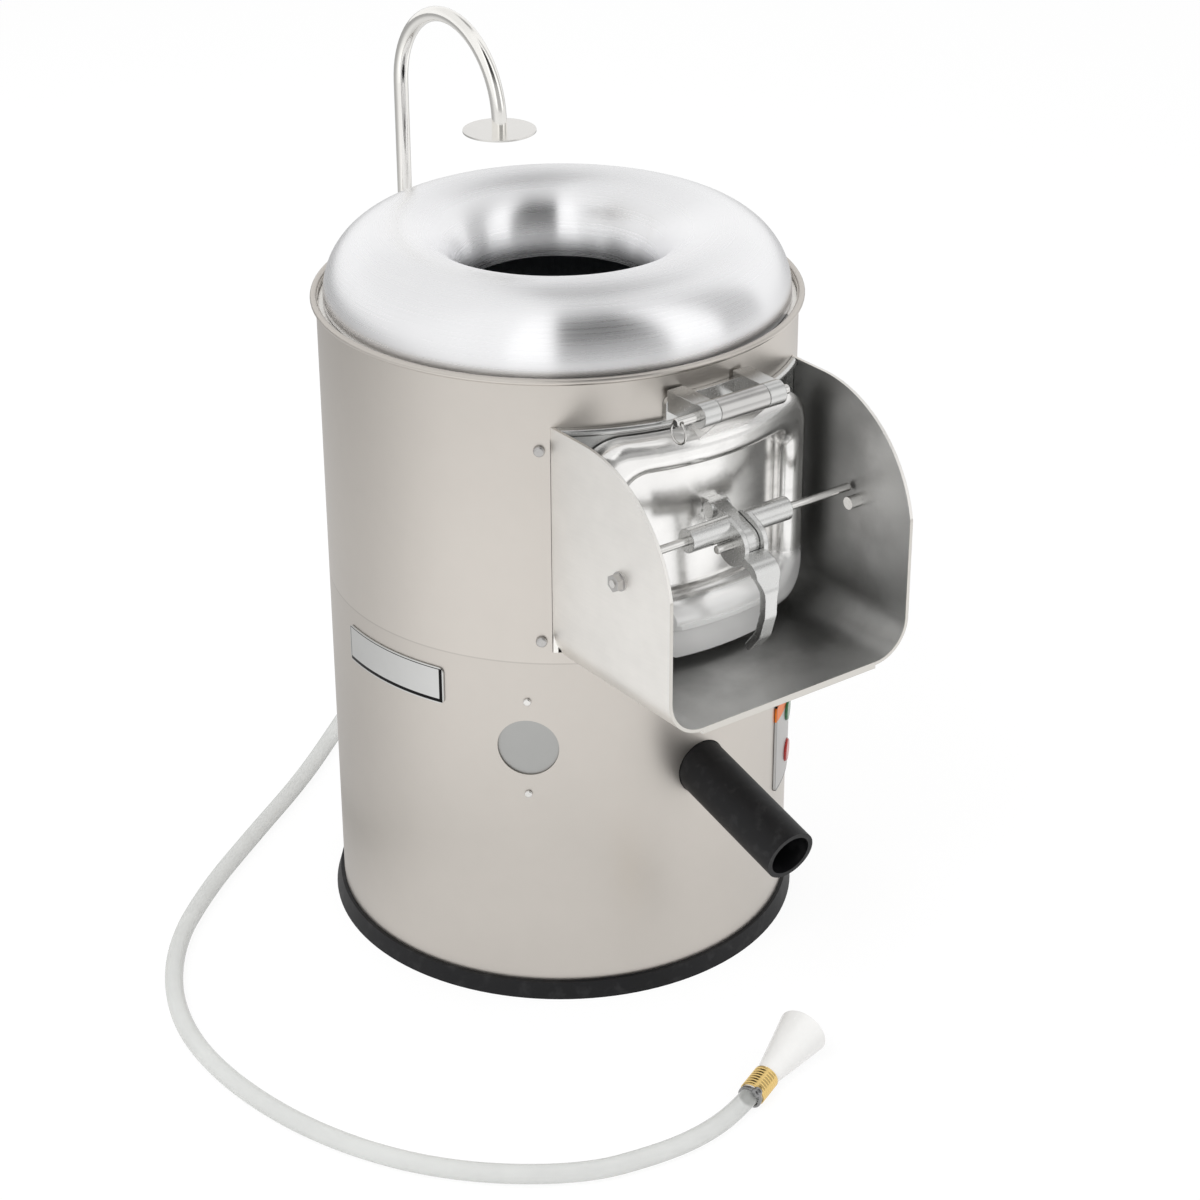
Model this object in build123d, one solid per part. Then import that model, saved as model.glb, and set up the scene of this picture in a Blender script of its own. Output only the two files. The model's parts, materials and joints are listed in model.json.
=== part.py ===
"""Bench-top batch potato peeler: a steel drum with a spun cover, a discharge door in a chute,
a belt-driven abrasive disc, a drain tube and a gooseneck water pipe fed by a clear hose.

Millimetres, +Z up.  The origin is the centre of the base on the bench, the chute faces -Y.
"""
from build123d import *
import os
from math import asin, cos, degrees, hypot, pi, radians, sin, tan

# ------------------------------------------------------------------ clearances
turn_gap = 0.05          # radial gap of a pin or shaft that moves in its bore
slip_gap = 0.15          # radial gap of round pieces pushed together by hand
seat_gap = 0.3           # gap between curved or moving faces of neighbouring pieces
cheek_gap = 0.5          # side gap of a hinge knuckle or fork
weld = 1.0               # how far joined forms of one casting run into each other

# ------------------------------------------------------------------ drum
drum_radius = 203.0      # outside of the wrapper, 16 inches across
wrapper_wall = 1.5
wrapper_top = 577.4      # height of the rolled bead's centre
bead_radius = 2.8
ring_height = 15.0       # rubber ring that the drum stands on
ring_spread = 7.4        # the ring's foot beyond the wrapper
ring_lip = 3.3           # the ring's upper edge beyond the wrapper
ring_floor = 4.0         # rubber under the wrapper's edge
ring_ledge = 8.0         # height of the ledge that carries the base plate
ring_depth = 17.0        # the ring reaches this far inside the wrapper
plate_wall = 4.0         # base plate
plate_rim_height = 22.0
plate_rim_wall = 2.5
vent_radius = 16.0
vent_circle = 140.0
vent_count = 6
bench_hole_radius = 3.5
bench_hole_inset = 11.0  # the holes lie this far inside the drum
bench_hole_count = 4

# ------------------------------------------------------------------ hopper
tub_inset = 13.0         # the tub lies this far inside the drum
tub_wall = 2.0
tub_flange_wall = 1.5
tub_top_drop = 4.4       # the tub's flange lies this far below the bead's centre
liner_wall = 9.8
liner_top_drop = 7.0
pan_floor = 246.0        # height of the drain pan's underside
pan_wall = 4.0
pan_rim_height = 54.0
pan_rim_wall = 3.0
pan_flange_height = 10.0
pan_flange_wall = 4.0
pan_dam_height = 52.0
pan_dam_wall = 3.0

# ------------------------------------------------------------------ top cover
cover_sheet = 2.5
cover_inset = 6.0        # the cover's edge lies this far inside the drum
cover_mouth_radius = 81.0
cover_skirt = 5.0        # straight skirt below the round of the cover

# ------------------------------------------------------------------ chute
chute_half_width = 124.0
chute_sheet = 3.0
chute_floor = 323.0      # underside of the chute's floor
chute_bend = 34.0        # outside radius of the bends between walls and floor
chute_length = 112.0     # front edge beyond the drum
chute_top_drop = 39.4    # the walls' top edge below the bead's centre
chute_level = 2.0        # level stretch of the top edge beyond the drum
chute_nose_height = 444.0
chute_lip = 3.0          # hem under the floor's front edge
chute_lip_depth = 4.0
chute_tab_rise = 15.0    # the walls pass through the wrapper from this far above the floor
chute_tab_drop = 10.0    # and up to this far below the top edge
chute_tab_width = 18.0
chute_tab_wall = 2.0
chute_screw_inset = 10.0 # from the ends of the tabs to the screws
chute_screw_offset = 7.0  # from the chute's wall to the screw, along the wrapper
screw_head_radius = 4.7
screw_head_height = 3.2
screw_shank_radius = 2.1

# ------------------------------------------------------------------ door frame
frame_wall = 2.5
frame_bead = 3.4         # radius of the bead along the frame's top edge
throat_corner = 22.0
throat_wall = 5.0

# ------------------------------------------------------------------ hinge
hinge_stand = 39.0       # hinge line beyond the drum
hinge_drop = 23.4        # hinge line below the bead's centre
hinge_pin_radius = 4.0
hinge_pin_left = 63.5
hinge_pin_right = 50.0
knuckle_radius = 10.0
knuckle_half_length = 24.5
lug_length = 16.0
lug_pad_drop = 20.4      # the pad's top below the bead's centre
lug_pad_margin = 1.0
lug_pad_corner = 7.0
lug_pad_wall = 4.5
pull_ring_radius = 9.0
pull_ring_wire = 1.0
pull_ring_inset = 3.5

# ------------------------------------------------------------------ door
gasket_wall = 1.6
gasket_width = 9.0
door_skin = 2.5
door_side_gap = 0.7      # between the door's edge and the tips of the chute's studs
door_rise = 15.0         # door's lower edge above the chute's underside
door_drop = 9.0          # door's upper edge below the chute's top
door_corner = 32.0
door_margin = 2.8        # door beyond its gasket at the sides
door_sill = 1.0          # door beyond its gasket at the bottom
door_head = 20.0         # door beyond its gasket at the top
door_rib_width = 30.0    # rounded rib round the door
door_rib_height = 17.0
door_rib_round = 12.5
strap_nose = 40.0        # degrees up the rib's shoulder, where the hinge's web meets it
bulge_half_width = 58.0  # bulge across the lower part of the door
bulge_foot = 333.0
bulge_ridge = 362.0      # height of the ridge between its foot and its round upper face
bulge_top = 390.0
bulge_height = 20.0
bulge_foot_height = 17.0
bulge_ridge_width = 4.0
bulge_ridge_height = 1.6
bulge_corner = 22.0
bulge_end_round = 30.0   # round of the bulge's ends, seen from above
plug_depth = 21.0        # the plug reaches this far inside the drum
plug_side_gap = 5.0
plug_sill_gap = 12.0
plug_head_gap = 4.0
plug_corner = 16.0

# ------------------------------------------------------------------ latch
rod_stand = 39.0         # cross rods beyond the drum
rod_height = 449.0
rod_radius = 3.5
rod_end_gap = 3.0        # from the rods' ends to the chute's walls
rod_grip = 30.0          # length of rod held in its boss
pivot_stand = 47.0       # lever pivot on the door's bracket, beyond the drum
pivot_drop = 12.0        # and below the rods
pivot_radius = 3.5
pivot_left = 27.0
eye_radius = 13.0
bracket_half_width = 7.0
bracket_root_stand = 14.0
bracket_root_rise = 6.0  # above the rods
bracket_root_radius = 7.0
bracket_root_half_length = 9.5
cheek_wall = 4.6
boss_radius = 10.0
boss_end = 51.0
web_wall = 4.6
web_start = 198.0        # degrees about the pivot, from the door's side upwards
web_end = 250.0
handle_half_width = 6.0
handle_throat = 22.0     # the grip narrows from the web's width over this height
handle_thickness = 7.0
handle_bend_radius = 9.0
handle_bends = [(-14.5, -8.0), (-28.0, -12.0), (-34.5, -30.0), (-34.0, -52.0), (-28.0, -72.0), (-17.0, -86.0)]
stud_stand = 49.0        # studs beyond the drum
stud_drop = 9.0          # and below the rods
stud_radius = 5.5
stud_shank_radius = 3.3
stud_length = 11.5
stud_nut_across = 13.0
stud_nut_height = 6.0
stud_washer_radius = 8.0
stud_washer_wall = 1.5

# ------------------------------------------------------------------ plates on the wrapper
blank_turn = -43.8       # degrees from the front, positive towards +X
blank_height = 246.9
blank_hole_radius = 26.0
blank_plate_radius = 50.0
blank_plate_wall = 1.5
blank_screw_offset = 44.0
small_head_radius = 3.4
small_head_height = 2.2
small_shank_radius = 1.6
name_turn = -81.0
name_height = 294.0
name_width = 118.0
name_tall = 34.0
name_wall = 1.2
switch_turn = 42.0
switch_height = 172.0
switch_width = 80.0
switch_tall = 88.0
switch_plate_wall = 1.5
switch_box_width = 46.0
switch_box_depth = 32.0
button_radius = 10.5
button_spread = 21.0     # each button above or below the plate's centre
button_stand = 2.0       # how far a button stands out of its plate
button_stem_radius = 5.0
button_stem_length = 20.0
button_travel = 4.0
button_sink = 1.5        # the cap's inner face at rest lies this far inside the wrapper
gland_turn = 158.0
gland_height = 60.0
gland_radius = 11.0
gland_bore = 4.5
gland_inside = 14.0
gland_outside = 18.0
gland_nut_across = 28.0
gland_nut_height = 5.0
gland_back_gap = 1.0     # the flat nut inside stands off the curved wall

# ------------------------------------------------------------------ drain
drain_tilt = 14.4        # degrees below level
drain_drop = 40.0        # drain axis at the wrapper below the pan
drain_radius = 23.25     # outside of the rubber tube
drain_wall = 4.0
drain_length = 121.0     # tube beyond the wrapper
drain_inside = 26.0      # tube inside the wrapper
drain_step = 0.5         # the bore narrows by this past the elbow's spigot
elbow_inset = 61.0       # centre of the elbow's upright leg inside the drum
elbow_wall = 2.5
elbow_bend = 24.0        # radius of the elbow's centre line
elbow_flange_radius = 31.0
elbow_flange_wall = 4.0
drain_clamp_wall = 1.0
drain_clamp_width = 12.0

# ------------------------------------------------------------------ disc drive
disc_gap = 4.05          # between the disc's edge and the lining
disc_low = 326.0
disc_wall = 12.0
disc_ridge = 8.0
disc_ridge_radius = 14.0
disc_ridge_count = 3
hub_radius = 45.0
hub_wall = 12.0
drive_key = 22.0         # square key of the hub in the disc
drive_key_height = 9.0
shaft_radius = 12.5
shaft_low = 34.0
slinger_radius = 44.0
slinger_wall = 2.0
slinger_skirt = 12.0
housing_radius = 32.0
housing_low = 120.0
housing_rise = 58.0      # upper end above the pan's underside
housing_flange_radius = 58.0
housing_flange_wall = 6.0
bearing_radius = 26.0
bearing_width = 15.0
bearing_depth = 13.0     # from the housing's upper end to the upper bearing
seal_width = 8.0
pulley_gap = 8.0         # between the two pulleys' rims
small_pulley_radius = 24.0
pulley_low = 40.0
pulley_width = 16.0
groove_width = 10.0
groove_depth = 9.0
belt_width = 9.0
belt_height = 7.0
belt_inset = 1.0         # belt's back below the pulleys' rims
pulley_hub_radius = 20.0
pulley_web = 6.0

# ------------------------------------------------------------------ motor
motor_gap = 8.0          # from the motor to the bearing housing
motor_back_gap = 17.5    # from the motor to the wrapper
motor_low = 76.0
motor_bell = 18.0
motor_length = 156.0
motor_wall = 4.0
motor_shaft_radius = 8.0
stator_bore = 40.0
stator_height = 80.0
rotor_gap = 0.8
motor_plate_wall = 6.0
post_radius = 8.0
post_inset = 23.0        # the posts lie this far inside the drum
post_turns = (75.0, 140.0, -140.0, -75.0)
post_collar_radius = 12.0
post_collar_height = 10.0
capacitor_radius = 19.0
capacitor_height = 82.0
capacitor_turn = -121.1   # degrees from the front
capacitor_inset = 75.7   # centre of the capacitor inside the lining's outer face

# ------------------------------------------------------------------ water pipe and hose
pipe_radius = 6.35
pipe_bore = 5.15
pipe_x = -11.0
pipe_stand = 12.0        # pipe axis behind the drum
pipe_arch = 75.0
pipe_rise = 128.6        # the arch starts this far above the bead's centre
pipe_outlet_drop = 5.0
pipe_low = 62.0
deflector_radius = 31.0
deflector_wall = 1.5
clip_heights = (150.0, 500.0)
clip_width = 14.0
clip_wall = 2.2
clip_foot = 20.0         # half width of a clip's foot
clip_foot_depth = 20.0
clip_screw_offset = 15.0
inlet_radius = 10.0
inlet_low = 38.0
inlet_high = 78.0
inlet_turn_height = 44.0
inlet_foot = 7.0
inlet_hose_height = 43.6
inlet_hose_fall = 3.6    # over the hose's first straight run
inlet_hose_run = 69.0
hose_radius = 8.0
hose_wall = 2.3
barb_length = 36.0
hose_clamp_wall = 1.1
hose_clamp_width = 10.0
clamp_screw_length = 12.0  # housing of the clamp's screw, along the band
clamp_screw_height = 6.0
adapter_mouth_radius = 21.5
adapter_wall = 2.4
adapter_length = 73.0    # from the clamp's middle to the mouth
neck_wall = 1.6
neck_length = 26.0
brass_clamp_width = 24.0
brass_clamp_wall = 1.1
adapter_neck_centre = Vector(-75.9, -377.7, 11.4)
adapter_mouth_centre = Vector(-7.6, -352.2, 21.8)
hose_lay = [
    Vector(148.7, 232.5, 24.0),
    Vector(189.6, 314.9, 9.5),
    Vector(149.9, 397.9, 8.2),
    Vector(60.0, 417.7, 8.2),
    Vector(-30.0, 343.5, 8.2),
    Vector(-115.0, 275.0, 8.2),
    Vector(-204.0, 216.0, 8.2),
    Vector(-290.0, 157.0, 8.2),
    Vector(-362.0, 92.0, 8.2),
    Vector(-411.0, 2.0, 8.2),
    Vector(-423.0, -98.0, 8.2),
    Vector(-401.0, -212.0, 8.2),
    Vector(-347.0, -310.0, 8.2),
    Vector(-262.0, -380.0, 8.2),
    Vector(-192.0, -397.0, 8.2),
    Vector(-143.0, -398.0, 8.2),
    Vector(-98.4, -386.1, 8.2),
    Vector(-66.5, -374.2, 12.8),
]

# ------------------------------------------------------------------ worked-out values
bead_circle = drum_radius + bead_radius - wrapper_wall / 2
wrapper_inside = drum_radius - wrapper_wall
ring_inner_radius = drum_radius - ring_depth
bench_hole_circle = drum_radius - bench_hole_inset
tub_radius = drum_radius - tub_inset
liner_outside = tub_radius - tub_wall - slip_gap
disc_radius = liner_outside - liner_wall - disc_gap
cover_outer_radius = drum_radius - cover_inset
post_circle = drum_radius - post_inset
tub_top = wrapper_top - tub_top_drop
tub_bottom = pan_floor + pan_flange_height + pan_flange_wall
frame_inside = drum_radius + seat_gap
frame_outside = frame_inside + frame_wall
gasket_inside = frame_outside + seat_gap
door_inside = gasket_inside + gasket_wall
door_outside = door_inside + door_skin
chute_inner = chute_half_width - chute_sheet
chute_front = drum_radius + chute_length
chute_shoulder = drum_radius + chute_level
chute_top = wrapper_top - chute_top_drop
chute_tab_low = chute_floor + chute_tab_rise
chute_tab_high = chute_top - chute_tab_drop
chute_screw_heights = (chute_tab_low + chute_screw_inset, chute_tab_high - chute_screw_inset)
hinge_reach = drum_radius + hinge_stand
hinge_height = wrapper_top - hinge_drop
lug_pad_top = wrapper_top - lug_pad_drop
door_half_width = chute_inner - stud_length - door_side_gap
door_low = chute_floor + door_rise
door_high = chute_top - door_drop
throat_half_width = door_half_width - door_margin - gasket_width
throat_low = door_low + door_sill + gasket_width
throat_high = door_high - door_head - gasket_width
plug_inner_radius = drum_radius - plug_depth
plug_half_width = throat_half_width - plug_side_gap
plug_low = throat_low + plug_sill_gap
plug_high = throat_high - plug_head_gap
rod_reach = drum_radius + rod_stand
rod_half_length = chute_inner - rod_end_gap
pivot_reach = drum_radius + pivot_stand
pivot_height = rod_height - pivot_drop
bracket_root_reach = drum_radius + bracket_root_stand
bracket_root_height = rod_height + bracket_root_rise
stud_reach = drum_radius + stud_stand
stud_height = rod_height - stud_drop
elbow_reach = drum_radius - elbow_inset
drain_height = pan_floor - drain_drop
plate_bottom = ring_ledge
plate_top = ring_ledge + plate_wall
plate_edge = wrapper_inside - seat_gap
housing_bore = bearing_radius + slip_gap
disc_top = disc_low + disc_wall
hub_low = disc_low - hub_wall
housing_high = pan_floor + housing_rise
motor_high = motor_low + motor_length
motor_radius = (wrapper_inside - motor_back_gap - housing_radius - motor_gap) / 2
motor_offset = housing_radius + motor_gap + motor_radius
big_pulley_radius = motor_offset - small_pulley_radius - pulley_gap
pipe_reach = drum_radius + pipe_stand
pipe_arch_height = wrapper_top + pipe_rise
hose_route = [
    Vector(pipe_x + inlet_radius, pipe_reach, inlet_hose_height),
    Vector(pipe_x + inlet_radius + inlet_hose_run, pipe_reach, inlet_hose_height - inlet_hose_fall),
] + hose_lay
hose_bore = hose_radius - hose_wall
drain_bore = drain_radius - drain_wall
groove_middle = pulley_low + pulley_width / 2
lug_start = knuckle_half_length + cheek_gap
lug_end = lug_start + lug_length
cheek_start = bracket_half_width + cheek_gap
cheek_end = cheek_start + cheek_wall
web_inside = eye_radius + cheek_gap
web_outside = web_inside + web_wall
hinge_line = (-hinge_reach, hinge_height)
rod_line = (-rod_reach, rod_height)
pivot_line = (-pivot_reach, pivot_height)
from_base = (Align.CENTER, Align.CENTER, Align.MIN)


# ------------------------------------------------------------------ shared forms
def disc(radius, low, high):
    """Round plate about the drum's axis between two heights."""
    return Pos(0, 0, low) * Cylinder(radius, high - low, align=from_base)


def ring(outer, inner, low, high):
    """Ring about the drum's axis between two heights."""
    return disc(outer, low, high) - disc(inner, low - weld, high + weld)


def rod(radius, start, end):
    """Round bar between two points."""
    start = Vector(start)
    run = Vector(end) - start
    return Plane(origin=start, z_dir=run) * Cylinder(radius, run.length, align=from_base)


def pipe(outer, inner, start, end):
    """Straight pipe between two points."""
    start = Vector(start)
    end = Vector(end)
    spare = (end - start).normalized() * weld
    return rod(outer, start, end) - rod(inner, start - spare, end + spare)


def block(x, y, z):
    """Box between two limits along each axis."""
    size = (x[1] - x[0], y[1] - y[0], z[1] - z[0])
    return Pos(x[0], y[0], z[0]) * Box(*size, align=(Align.MIN, Align.MIN, Align.MIN))


def lathe(*points):
    """Solid of revolution about the drum's axis from (radius, height) corners."""
    return revolve(Plane.XZ * make_face(Polyline(*points, close=True)), Axis.Z)


def across(sketch, start, end):
    """Sketch in (y, z) made into a plate across the machine from x = start to x = end."""
    return extrude(Plane.YZ.offset(start) * sketch, amount=end - start)


def front_prism(half_width, low, high, corner):
    """Rounded rectangle, seen from the front, run out towards -Y."""
    face = RectangleRounded(2 * half_width, high - low, corner)
    return extrude(Plane.XZ * Pos(0, (low + high) / 2) * face, amount=2 * drum_radius)


def front_shell(inner, outer, half_width, low, high, corner):
    """Curved panel on the front of the drum between two radii."""
    return ring(outer, inner, low - weld, high + weld) & front_prism(half_width, low, high, corner)


def turned(turn, piece):
    """Piece made at the front, turned about the drum's axis; positive turns go towards +X."""
    return Rot(0, 0, turn) * piece


def outward(reach, height):
    """Point at the front, at a distance from the drum's axis."""
    return Vector(0, -reach, height)


def spot(turn, reach, height):
    """Point at a turn from the front, a distance from the axis and a height."""
    return Vector(reach * sin(radians(turn)), -reach * cos(radians(turn)), height)


def nut(across_flats, bore, start, end):
    """Hexagon nut between two points."""
    start = Vector(start)
    run = Vector(end) - start
    prism = extrude(RegularPolygon(across_flats / 2, 6, major_radius=False), amount=run.length)
    return Plane(origin=start, z_dir=run) * prism - rod(bore, start - run, start + run * 2)


def screw(surface, head_radius, head_height, shank_radius, shank_length, turn, height):
    """Pan-head screw that stands radially on the wrapper."""
    seat = surface + slip_gap
    head = rod(head_radius, spot(turn, seat, height), spot(turn, seat + head_height, height))
    head = fillet(head.edges().filter_by(GeomType.CIRCLE).sort_by_distance(Vector(0, 0, height))[-1],
                  head_height * 0.6)
    shank = rod(shank_radius, spot(turn, seat - shank_length, height), spot(turn, seat + weld, height))
    return head + shank


def group(*pieces):
    """Several separate solids in one node."""
    return Compound(children=[piece for piece in pieces])


# ------------------------------------------------------------------ drain geometry
drain_run = Vector(0, -cos(radians(drain_tilt)), -sin(radians(drain_tilt)))
drain_gate = outward(drum_radius, drain_height)


def drain_at(distance):
    """Point on the drain's axis, a distance outward from the wrapper."""
    return drain_gate + drain_run * distance


elbow_distance = -(drum_radius - elbow_reach) / cos(radians(drain_tilt))
elbow_corner = drain_at(elbow_distance)


# ------------------------------------------------------------------ drum and base
def chute_screw_turn():
    """Turn of the chute's screws from the front."""
    return degrees(asin((chute_half_width + chute_screw_offset) / drum_radius))


def make_wrapper():
    wall = Pos(drum_radius - wrapper_wall / 2, (wrapper_top + ring_floor) / 2)
    wall = wall * Rectangle(wrapper_wall, wrapper_top - ring_floor)
    bead = Pos(bead_circle, wrapper_top) * Circle(bead_radius)
    shell = revolve(Plane.XZ * (wall + bead), Axis.Z)
    window = front_prism(chute_half_width + seat_gap, chute_tab_low - seat_gap,
                         chute_tab_high + seat_gap, weld)
    shell -= window
    shell -= rod(drain_radius + slip_gap * 4, drain_at(-drum_radius / 2), drain_at(drum_radius / 2))
    shell -= rod(blank_hole_radius, spot(blank_turn, 0, blank_height),
                 spot(blank_turn, 2 * drum_radius, blank_height))
    for side in (-1, 1):
        for height in chute_screw_heights:
            turn = side * chute_screw_turn()
            shell -= rod(screw_shank_radius + slip_gap, spot(turn, 0, height),
                         spot(turn, 2 * drum_radius, height))
        shell -= blank_screw_hole(side)
        for height in clip_heights:
            shell -= clip_screw_hole(side, height)
        height = switch_height + side * button_spread
        shell -= rod(button_radius + seat_gap * 2, spot(switch_turn, 0, height),
                     spot(switch_turn, 2 * drum_radius, height))
    shell -= rod(gland_radius + slip_gap, spot(gland_turn, 0, gland_height),
                 spot(gland_turn, 2 * drum_radius, gland_height))
    return shell


def blank_screw_hole(side):
    height = blank_height + side * blank_screw_offset
    return rod(small_shank_radius + slip_gap, spot(blank_turn, 0, height),
               spot(blank_turn, 2 * drum_radius, height))


def clip_screw_hole(side, height):
    x = pipe_x + side * clip_screw_offset
    return rod(small_shank_radius + slip_gap, (x, 0, height), (x, 2 * drum_radius, height))


def bench_holes():
    """Holes down through the base, for bolting the machine to a bench."""
    spots = PolarLocations(bench_hole_circle, bench_hole_count, start_angle=45)
    return [place * Cylinder(bench_hole_radius, 4 * ring_height) for place in spots]


def make_base_ring():
    foot = drum_radius + ring_spread
    lip = drum_radius + ring_lip
    body = lathe((ring_inner_radius, 0), (foot, 0), (lip, ring_height),
                 (drum_radius + slip_gap, ring_height), (drum_radius + slip_gap, ring_floor),
                 (wrapper_inside - slip_gap, ring_floor), (wrapper_inside - slip_gap, ring_ledge),
                 (ring_inner_radius, ring_ledge))
    return body - bench_holes()


def make_base_plate():
    plate = disc(plate_edge, plate_bottom, plate_top)
    plate += ring(plate_edge, plate_edge - plate_rim_wall, plate_top - weld, plate_top + plate_rim_height)
    for place in PolarLocations(vent_circle, vent_count):
        plate -= place * Cylinder(vent_radius, 4 * plate_top)
    return plate - bench_holes()


def make_posts():
    posts = []
    for turn in post_turns:
        post = rod(post_radius, spot(turn, post_circle, plate_top), spot(turn, post_circle, pan_floor))
        if abs(turn) > 90:
            top = motor_low - motor_plate_wall
            post += rod(post_collar_radius, spot(turn, post_circle, top - post_collar_height),
                        spot(turn, post_circle, top))
        posts.append(post)
    return group(*posts)


# ------------------------------------------------------------------ hopper
def make_drain_pan():
    rim = liner_outside
    flange = pan_floor + pan_flange_height
    hole = housing_radius + slip_gap
    dam = hole + pan_dam_wall
    top = pan_floor + pan_wall
    pan = lathe((hole, pan_floor), (rim, pan_floor), (rim, flange), (plate_edge, flange),
                (plate_edge, tub_bottom), (rim, tub_bottom), (rim, pan_floor + pan_rim_height),
                (rim - pan_rim_wall, pan_floor + pan_rim_height), (rim - pan_rim_wall, top),
                (dam, top), (dam, pan_floor + pan_dam_height), (hole, pan_floor + pan_dam_height))
    sump = outward(elbow_reach, 0)
    pan -= rod(drain_bore - elbow_wall, sump, sump + Vector(0, 0, tub_bottom))
    half = blank_plate_radius + weld
    notch = block((-half, half), (-drum_radius, 1 - liner_outside), (flange - weld, tub_bottom + weld))
    return pan - turned(blank_turn, notch - disc(rim, 0, wrapper_top))


def throat_opening():
    """Space through the drum's front that the potatoes leave by."""
    return front_prism(throat_half_width, throat_low, throat_high, throat_corner)


def make_tub():
    inner = tub_radius - tub_wall
    tub = lathe((inner, tub_bottom), (tub_radius, tub_bottom), (tub_radius, tub_top - tub_flange_wall),
                (plate_edge, tub_top - tub_flange_wall), (plate_edge, tub_top), (inner, tub_top))
    return tub - throat_opening()


def make_liner():
    low = pan_floor + pan_rim_height
    high = tub_top - liner_top_drop
    return ring(liner_outside, liner_outside - liner_wall, low, high) - throat_opening()


# ------------------------------------------------------------------ chute
def chute_form(inset):
    """Round-bottomed prism of the chute, this far inside its outer faces."""
    tall = chute_top - chute_floor + chute_bend
    face = RectangleRounded(2 * (chute_half_width - inset), 2 * (tall - inset), chute_bend - inset)
    return extrude(Plane.XZ * Pos(0, chute_floor + tall) * face, amount=2 * drum_radius)


def chute_side_outline():
    """Outline of the chute seen from the side, in (y, z)."""
    crown = (-(chute_shoulder + 0.66 * (chute_front - chute_shoulder)),
             chute_nose_height + 0.70 * (chute_top - chute_nose_height))
    edge = [
        Line((0, chute_floor - weld), (-chute_front, chute_floor - weld)),
        Line((-chute_front, chute_floor - weld), (-chute_front, chute_nose_height)),
        ThreePointArc((-chute_front, chute_nose_height), crown, (-chute_shoulder, chute_top)),
        Line((-chute_shoulder, chute_top), (0, chute_top)),
        Line((0, chute_top), (0, chute_floor - weld)),
    ]
    return make_face(edge)


def make_chute():
    channel = chute_form(0) - chute_form(chute_sheet)
    channel &= across(chute_side_outline(), -2 * drum_radius, 2 * drum_radius)
    outside = channel - disc(drum_radius + slip_gap, 0, 2 * wrapper_top)
    reach = chute_half_width + chute_tab_width
    tab_inside = wrapper_inside - seat_gap - chute_tab_wall
    shell = ring(tab_inside + chute_tab_wall, tab_inside, chute_tab_low, chute_tab_high)
    lip = block((-chute_half_width + chute_bend, chute_half_width - chute_bend),
                (-chute_front, -chute_front + chute_lip_depth),
                (chute_floor - chute_lip, chute_floor + chute_sheet / 2))
    chute = outside + lip
    for side in (-1, 1):
        wall = sorted((side * chute_inner, side * chute_half_width))
        foot = sorted((side * chute_inner, side * reach))
        slot = ring(drum_radius + weld, tab_inside, chute_tab_low, chute_tab_high)
        chute += slot & block(wall, (-drum_radius, 0), (chute_tab_low, chute_tab_high))
        chute += shell & block(foot, (-drum_radius, 0), (chute_tab_low, chute_tab_high))
        for height in chute_screw_heights:
            turn = side * chute_screw_turn()
            chute -= rod(screw_shank_radius + turn_gap, spot(turn, tab_inside - weld, height),
                         spot(turn, drum_radius - wrapper_wall / 2, height))
        chute -= rod(stud_shank_radius, (side * (chute_inner - weld), -stud_reach, stud_height),
                     (side * (chute_half_width + weld), -stud_reach, stud_height))
    return chute


def make_chute_screws():
    depth = wrapper_wall + seat_gap + chute_tab_wall + screw_shank_radius
    return group(*[screw(drum_radius, screw_head_radius, screw_head_height, screw_shank_radius,
                         depth, side * chute_screw_turn(), height)
                   for side in (-1, 1) for height in chute_screw_heights])


def make_studs():
    """Two stepped studs that stand inside the chute's walls."""
    studs = []
    for side in (-1, 1):
        tip = (side * (chute_inner - stud_length), -stud_reach, stud_height)
        seat = (side * chute_inner, -stud_reach, stud_height)
        end = (side * (chute_half_width + stud_washer_wall + stud_nut_height + weld),
               -stud_reach, stud_height)
        studs.append(rod(stud_radius, tip, seat) + rod(stud_shank_radius, seat, end))
    return group(*studs)


def make_stud_nuts():
    nuts = []
    for side in (-1, 1):
        base = Vector(side * chute_half_width, -stud_reach, stud_height)
        step = Vector(side, 0, 0)
        face = base + step * stud_washer_wall
        washer = pipe(stud_washer_radius, stud_shank_radius, base, face)
        nuts.append(washer + nut(stud_nut_across, stud_shank_radius, face, face + step * stud_nut_height))
    return group(*nuts)


# ------------------------------------------------------------------ door frame
def make_door_frame():
    half = chute_inner - seat_gap
    low = chute_floor + chute_sheet + seat_gap
    plate = ring(frame_outside, frame_inside, low, chute_top) & chute_form(chute_sheet + seat_gap)
    throat = front_shell(tub_radius + seat_gap, frame_inside + weld, throat_half_width + throat_wall,
                         throat_low - throat_wall, throat_high + throat_wall,
                         throat_corner + throat_wall)
    bead = Pos(frame_outside, chute_top - frame_bead) * Circle(frame_bead)
    bead = revolve(Plane.XZ * bead, Axis.Z) - disc(frame_inside, 0, 2 * wrapper_top)
    bead &= front_prism(half, low, chute_top + frame_bead, weld)
    pad_half = lug_end + lug_pad_margin
    pad = front_shell(frame_inside, frame_outside + lug_pad_wall - frame_wall, pad_half,
                      chute_top - 2 * frame_bead, lug_pad_top, lug_pad_corner)
    frame = plate + throat + bead + pad
    for side in (-1, 1):
        span = sorted((side * lug_start, side * lug_end))
        lug = Pos(*hinge_line) * Circle(knuckle_radius)
        root = Pos((hinge_line[0] - frame_inside) / 2 - weld, hinge_height)
        lug += root * Rectangle(hinge_reach - frame_inside + 2 * weld, 2 * knuckle_radius - 2)
        frame += across(lug, *span) - disc(frame_inside, 0, 2 * wrapper_top)
    frame -= throat_opening()
    return frame - rod(hinge_pin_radius + turn_gap, (-lug_end - weld, *hinge_line),
                       (lug_end + weld, *hinge_line))


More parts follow.
